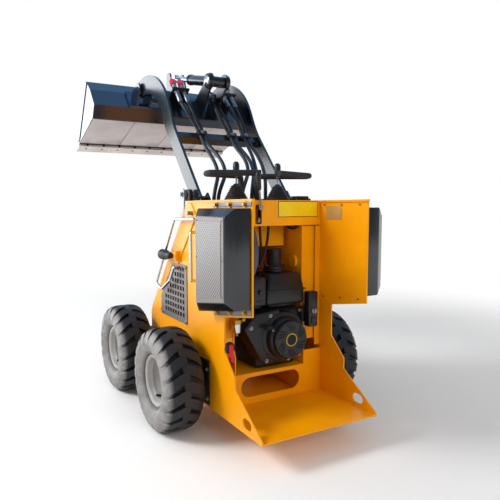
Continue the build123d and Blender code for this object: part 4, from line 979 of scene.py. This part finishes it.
# %% clamps and grommets
bm = bmesh.new()
for x in (-97, 73, 153):
    block = arm_outline(((400, -20), (428, -20), (428, -46), (400, -46)))
    prism(bm, block, x - 26, x + 26, 3, 0)
    bolt(bm, on_arm(x, CLAMP_AT, -46), -ARM_BELOW, 12, 1)
finish_piece("hose_clamps", bm, [satin_black, dull_steel], "lift")
bm = bmesh.new()
boxes(bm, {"grommet": ((-62, 116), (-382, -347), (DECK, DECK + 8), 3, 0)})
finish_piece("hose_grommet", bm, [boot_rubber], "chassis")

# %% [markdown]
# The bucket's underside has wear plates with open seams, painted pale grey as a painted reflection of the
# bright floor, and its cutting edge has pairs of bolt holes.
# The plates are laid just under the CAD sheet. The tilt cylinder hangs between two ears whose pin ends are
# polished discs.

# %% bucket floor plates and edge holes
HEEL, LIP = Vector((478, 1464)), Vector((890, 1342.2))
ALONG = (LIP - HEEL).normalized()
DOWN = Vector((ALONG.y, -ALONG.x))
SEAMS = (-497, -252, -4, 244, 497)
SEAM_HALF = 1.5
HOLES, HOLE_PITCH = 10, 100
bm = bmesh.new()
for left, right in zip(SEAMS, SEAMS[1:]):
    corners = [HEEL + ALONG * a + DOWN * b for a, b in ((6, 0.5), (338, 0.5), (338, 3), (6, 3))]
    prism(bm, [tuple(c) for c in corners], left + SEAM_HALF, right - SEAM_HALF, 0.6)
finish_piece("bucket_floor_plates", bm, [floor_plate_painted_reflection], "bucket")
# The bolt holes are dark discs: painted shade inside each hole.
bm = bmesh.new()
for i in range(HOLES):
    x = (i - (HOLES - 1) / 2) * HOLE_PITCH
    for a in (352, 400):
        at = HEEL + ALONG * a + DOWN * 0.4
        lathe(bm, [(0, 12.3), (7, 12.3), (7, 0)], facing((x, *at), (0, *DOWN)), 16, 0)
finish_piece("edge_bolt_holes", bm, [dark_bay], "bucket")

# %% pin ends of the tilt cylinder and the hitch
bm = bmesh.new()
for sign in (-1, 1):
    ear = facing((sign * 46, -53, 1600), (sign, 0, 0))
    lathe(bm, [(36, 0), (36, 10), (33, 14), (26, 15)], ear, 40, 0)
    lathe(bm, [(26, 14.6), (22, 17), (0, 17)], ear, 40, 1)
finish_piece("tilt_pin_ends", bm, [arm_black, chrome], "lift")
bm = bmesh.new()
for sign in (-1, 1):
    tube = facing((sign * 150, 404, 1574), (sign, 0, 0))
    lathe(bm, [(0, -50), (20, -50), (20, 36), (17, 38)], tube, 28, 0)
    lathe(bm, [(17, 38), (10, 38)], tube, 28, 1)
    lathe(bm, [(10, 38), (10, 10), (0, 10)], tube, 28, 0)
finish_piece("hitch_lock_tubes", bm, [bucket_black_painted_sky_tint, dull_steel], "bucket")

# %% [markdown]
# Last come the small things that make a welded machine: beads along the platform, bolts on the chain
# covers, an eye bolt and a lock bracket at the foot of each arm. Beads are swept rods, painted over with
# the rest.

# %% small hardware
PLATE_FACE = SKIN + 6
EYE_BOLT = (-352, 945)
# Outlines in the side plane: the lock's block, its strap and the latch between them
LOCK_BLOCK = [(-300, 1000), (-240, 1000), (-240, 1040), (-252, 1052), (-290, 1052), (-300, 1040)]
LOCK_STRAP = [(-268, 912), (-226, 912), (-226, 1046), (-236, 1056), (-258, 1056), (-268, 1046)]
LATCH = [(-282, 1018), (-232, 1018), (-232, 1036), (-282, 1036)]
for side, sign in BOTH:
    bm = bmesh.new()
    for z in (149, 279):
        bolt(bm, (sign * PLATE_FACE, -489, z), (sign, 0, 0), 12, 1)
    eye = (sign * SKIN, *EYE_BOLT)
    bolt(bm, eye, (sign, 0, 0), 18, 1)
    lathe(bm, [(6, 8), (9, 14), (9, 26), (6, 30), (0, 31)], facing(eye, (sign, 0, 0)), 16, 1)
    prism(bm, LOCK_BLOCK, sign * 253, sign * 272, 3, 0)
    prism(bm, LOCK_STRAP, sign * SKIN, sign * PLATE_FACE, 1.5, 1)
    bolt(bm, (sign * PLATE_FACE, -247, 1030), (sign, 0, 0), 16, 1)
    prism(bm, LATCH, sign * 270, sign * 279, 1, 0)
    finish_piece(f"arm_lock_{side}", bm, [black_plastic, dull_steel], "chassis")

# %% weld beads
BEAD_R, BEAD_X, BEAD_Y = 3.0, 270, -557.5
runs = []
for side, sign in BOTH:
    runs.append([(sign * BEAD_X, y, 121) for y in (-905, -740, -560)])
    runs.append([(sign * BEAD_X, BEAD_Y, z) for z in (122, 190, 250)])
runs.append([(x, BEAD_Y, 121) for x in (-268, 0, 268)])
bm = bmesh.new()
for run in runs:
    pipe(bm, [Vector(point) for point in run], BEAD_R, 0, 8)
finish_piece("weld_beads", bm, [yellow], "chassis")

# %% [markdown]
# The CAD nodes that stay take their paint here, by the start of their names. The plates keep the CAD edges,
# which the bevel node in the paint softens in the light.

# %% paint the rest
# The cutting edge takes the pale grey that is a painted reflection of the floor.
STAYING = {
    "side_plate": yellow, "tower_plate": yellow, "floor_pan": yellow, "platform": yellow,
    "kick_plate": yellow, "hood": yellow, "deck": yellow, "rear_fascia": yellow,
    "vent_plate": stainless, "chain_cover": satin_black, "fan_shroud": grey_plastic,
    "cross_tube": arm_black, "head_plate": arm_black, "tilt_barrel": arm_black, "lift_barrel": arm_black,
    "tilt_rod": chrome, "lift_rod": chrome,
    "hitch": bucket_black_painted_sky_tint, "bucket_shell": bucket_black_painted_sky_tint, "cutting_edge": edge_painted_floor_reflection,
}
painted = set()
for node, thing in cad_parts.items():
    for start, material in STAYING.items():
        if node.startswith(start):
            painted.add(node)
            for holder in thing.material_slots:
                holder.material = material
print("painted", len(painted), "CAD nodes")

# %% [markdown]
# The machine stands on white paper under soft daylight. The floor is lit paper near the machine, so it
# keeps the shadow, and fades to plain white farther out. The world is white to the camera. In mirrors it
# turns bluer overhead and darker behind the camera, and a neutral half-strength light fills the shade.

# %% floor
FADE = (1.7, 4.2)
bm = bmesh.new()
bmesh.ops.create_grid(bm, x_segments=1, y_segments=1, size=60.0)
mesh = bpy.data.meshes.new("studio_floor")
bm.to_mesh(mesh)
bm.free()
floor = bpy.data.objects.new("studio_floor", mesh)
bpy.context.scene.collection.objects.link(floor)
paper, tree, shader, place = start_material("white_floor_paper")
fleck = add(tree, "ShaderNodeTexNoise", {"Scale": per_mm(300), "Detail": 3.0}, {"Vector": place})
tone = add(tree, "ShaderNodeMix", {"A": linear("F6F6F6"), "B": linear("F2F2F3")},
           {"Factor": fleck.outputs["Fac"]}, data_type="RGBA")
tree.links.new(tone.outputs["Result"], shader.inputs["Base Color"])
shader.inputs["Roughness"].default_value = 0.95
shader.inputs["Specular IOR Level"].default_value = 0.1
flat = add(tree, "ShaderNodeVectorMath", None, {0: place}, operation="LENGTH")
far = add(tree, "ShaderNodeMapRange", {"From Min": FADE[0], "From Max": FADE[1]},
          {"Value": flat.outputs["Value"]}, interpolation_type="SMOOTHSTEP")
seen = add(tree, "ShaderNodeLightPath")
direct = add(tree, "ShaderNodeMath", None,
             {0: seen.outputs["Is Camera Ray"], 1: seen.outputs["Is Glossy Ray"]},
             operation="MAXIMUM")
share = add(tree, "ShaderNodeMath", None, {0: far.outputs["Result"], 1: direct.outputs[0]},
            operation="MULTIPLY")
white = add(tree, "ShaderNodeEmission", {"Color": (1, 1, 1, 1), "Strength": 1.0})
blend = add(tree, "ShaderNodeMixShader", None,
            {0: share.outputs[0], 1: shader.outputs[0], 2: white.outputs[0]})
tree.links.new(blend.outputs[0], tree.nodes["Material Output"].inputs["Surface"])
mesh.materials.append(paper)
floor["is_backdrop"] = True
print("floor fades to white between", FADE, "m")

# %% world
AMBIENT = 0.5
world = bpy.data.worlds.new("studio")
bpy.context.scene.world = world
world.use_nodes = True
sky = world.node_tree
back = sky.nodes["Background"]
way = add(sky, "ShaderNodeTexCoord")
parts = add(sky, "ShaderNodeSeparateXYZ", None, {"Vector": way.outputs["Generated"]})
up = add(sky, "ShaderNodeMapRange", {"From Min": 0.12, "From Max": 0.75}, {"Value": parts.outputs["Z"]})
tint = add(sky, "ShaderNodeMix", {"A": linear("FFFFFF"), "B": linear("86BDF6")},
           {"Factor": up.outputs["Result"]}, data_type="RGBA")
behind = add(sky, "ShaderNodeMapRange", {"From Min": 0.0, "From Max": -0.7, "To Max": 0.75},
             {"Value": parts.outputs["Y"]})
mirrored = add(sky, "ShaderNodeMix", {"B": linear("1B2430")},
               {"Factor": behind.outputs["Result"], "A": tint.outputs["Result"]}, data_type="RGBA")
rays = add(sky, "ShaderNodeLightPath")
either = add(sky, "ShaderNodeMath", None,
             {0: rays.outputs["Is Glossy Ray"], 1: rays.outputs["Is Transmission Ray"]},
             operation="MAXIMUM")
shade = add(sky, "ShaderNodeBackground", {"Color": (1, 1, 1, 1), "Strength": AMBIENT})
sky.links.new(mirrored.outputs["Result"], back.inputs["Color"])
glossy = add(sky, "ShaderNodeMixShader", None,
             {0: either.outputs[0], 1: shade.outputs[0], 2: back.outputs[0]})
plain = add(sky, "ShaderNodeBackground", {"Color": (1, 1, 1, 1), "Strength": 1.0})
final = add(sky, "ShaderNodeMixShader", None,
            {0: rays.outputs["Is Camera Ray"], 1: glossy.outputs[0], 2: plain.outputs[0]})
sky.links.new(final.outputs[0], sky.nodes["World Output"].inputs["Surface"])
print("shade light", AMBIENT)

# %% lamps
WHITE, DAYLIGHT = (1, 1, 1), (0.9, 0.96, 1.0)
AIM = Vector((0, 0, 0.7))
# Place and size in metres, power in watts, colour, and whether the paint mirrors it
LAMPS = {
    "key_from_left": ((-4.1, 0.7, 3.4), (1.6, 1.6), 190.0, WHITE, True),
    "front_left_wall": ((-2.7, 4.6, 1.6), (4.2, 3.0), 120.0, DAYLIGHT, True),
    "behind_camera": ((0.4, -5.2, 2.6), (3.0, 2.0), 60.0, WHITE, False),
}
for name, (at, size, power, colour, in_mirrors) in LAMPS.items():
    lamp = bpy.data.lights.new(name, "AREA")
    lamp.shape = "RECTANGLE"
    lamp.size, lamp.size_y = size
    lamp.energy = power
    lamp.color = colour
    light = bpy.data.objects.new(name, lamp)
    light.location = at
    light.rotation_euler = (AIM - Vector(at)).to_track_quat("-Z", "Y").to_euler()
    light.visible_camera = False
    light.visible_glossy = in_mirrors
    bpy.context.scene.collection.objects.link(light)
print("lamps", list(LAMPS))

# %% [markdown]
# The camera stands as in the photograph, behind and to the left at about waist height. Its place, turn and
# lens were fitted to corners of the machine, so that its edges fall close to where the photograph has them.

# %% camera
lens = bpy.data.cameras.new("photo_camera")
lens.sensor_width, lens.lens = 36.0, 36.76
lens.shift_x, lens.shift_y = 0.0394, 0.0146
camera = bpy.data.objects.new("photo_camera", lens)
camera.location = (-1.2217, -2.4067, 0.9705)
camera.rotation_euler = (radians(84.40), radians(0.28), radians(-28.81))
bpy.context.scene.collection.objects.link(camera)
bpy.context.scene.camera = camera
bpy.context.scene.view_settings.view_transform = "Standard"
print("camera", [round(c, 3) for c in camera.location])

# %% sizes and finish
new_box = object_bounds()
for what, corners in (("cad", cad_box), ("visual", new_box)):
    print(what, [tuple(round(v, 3) for v in c) for c in corners])
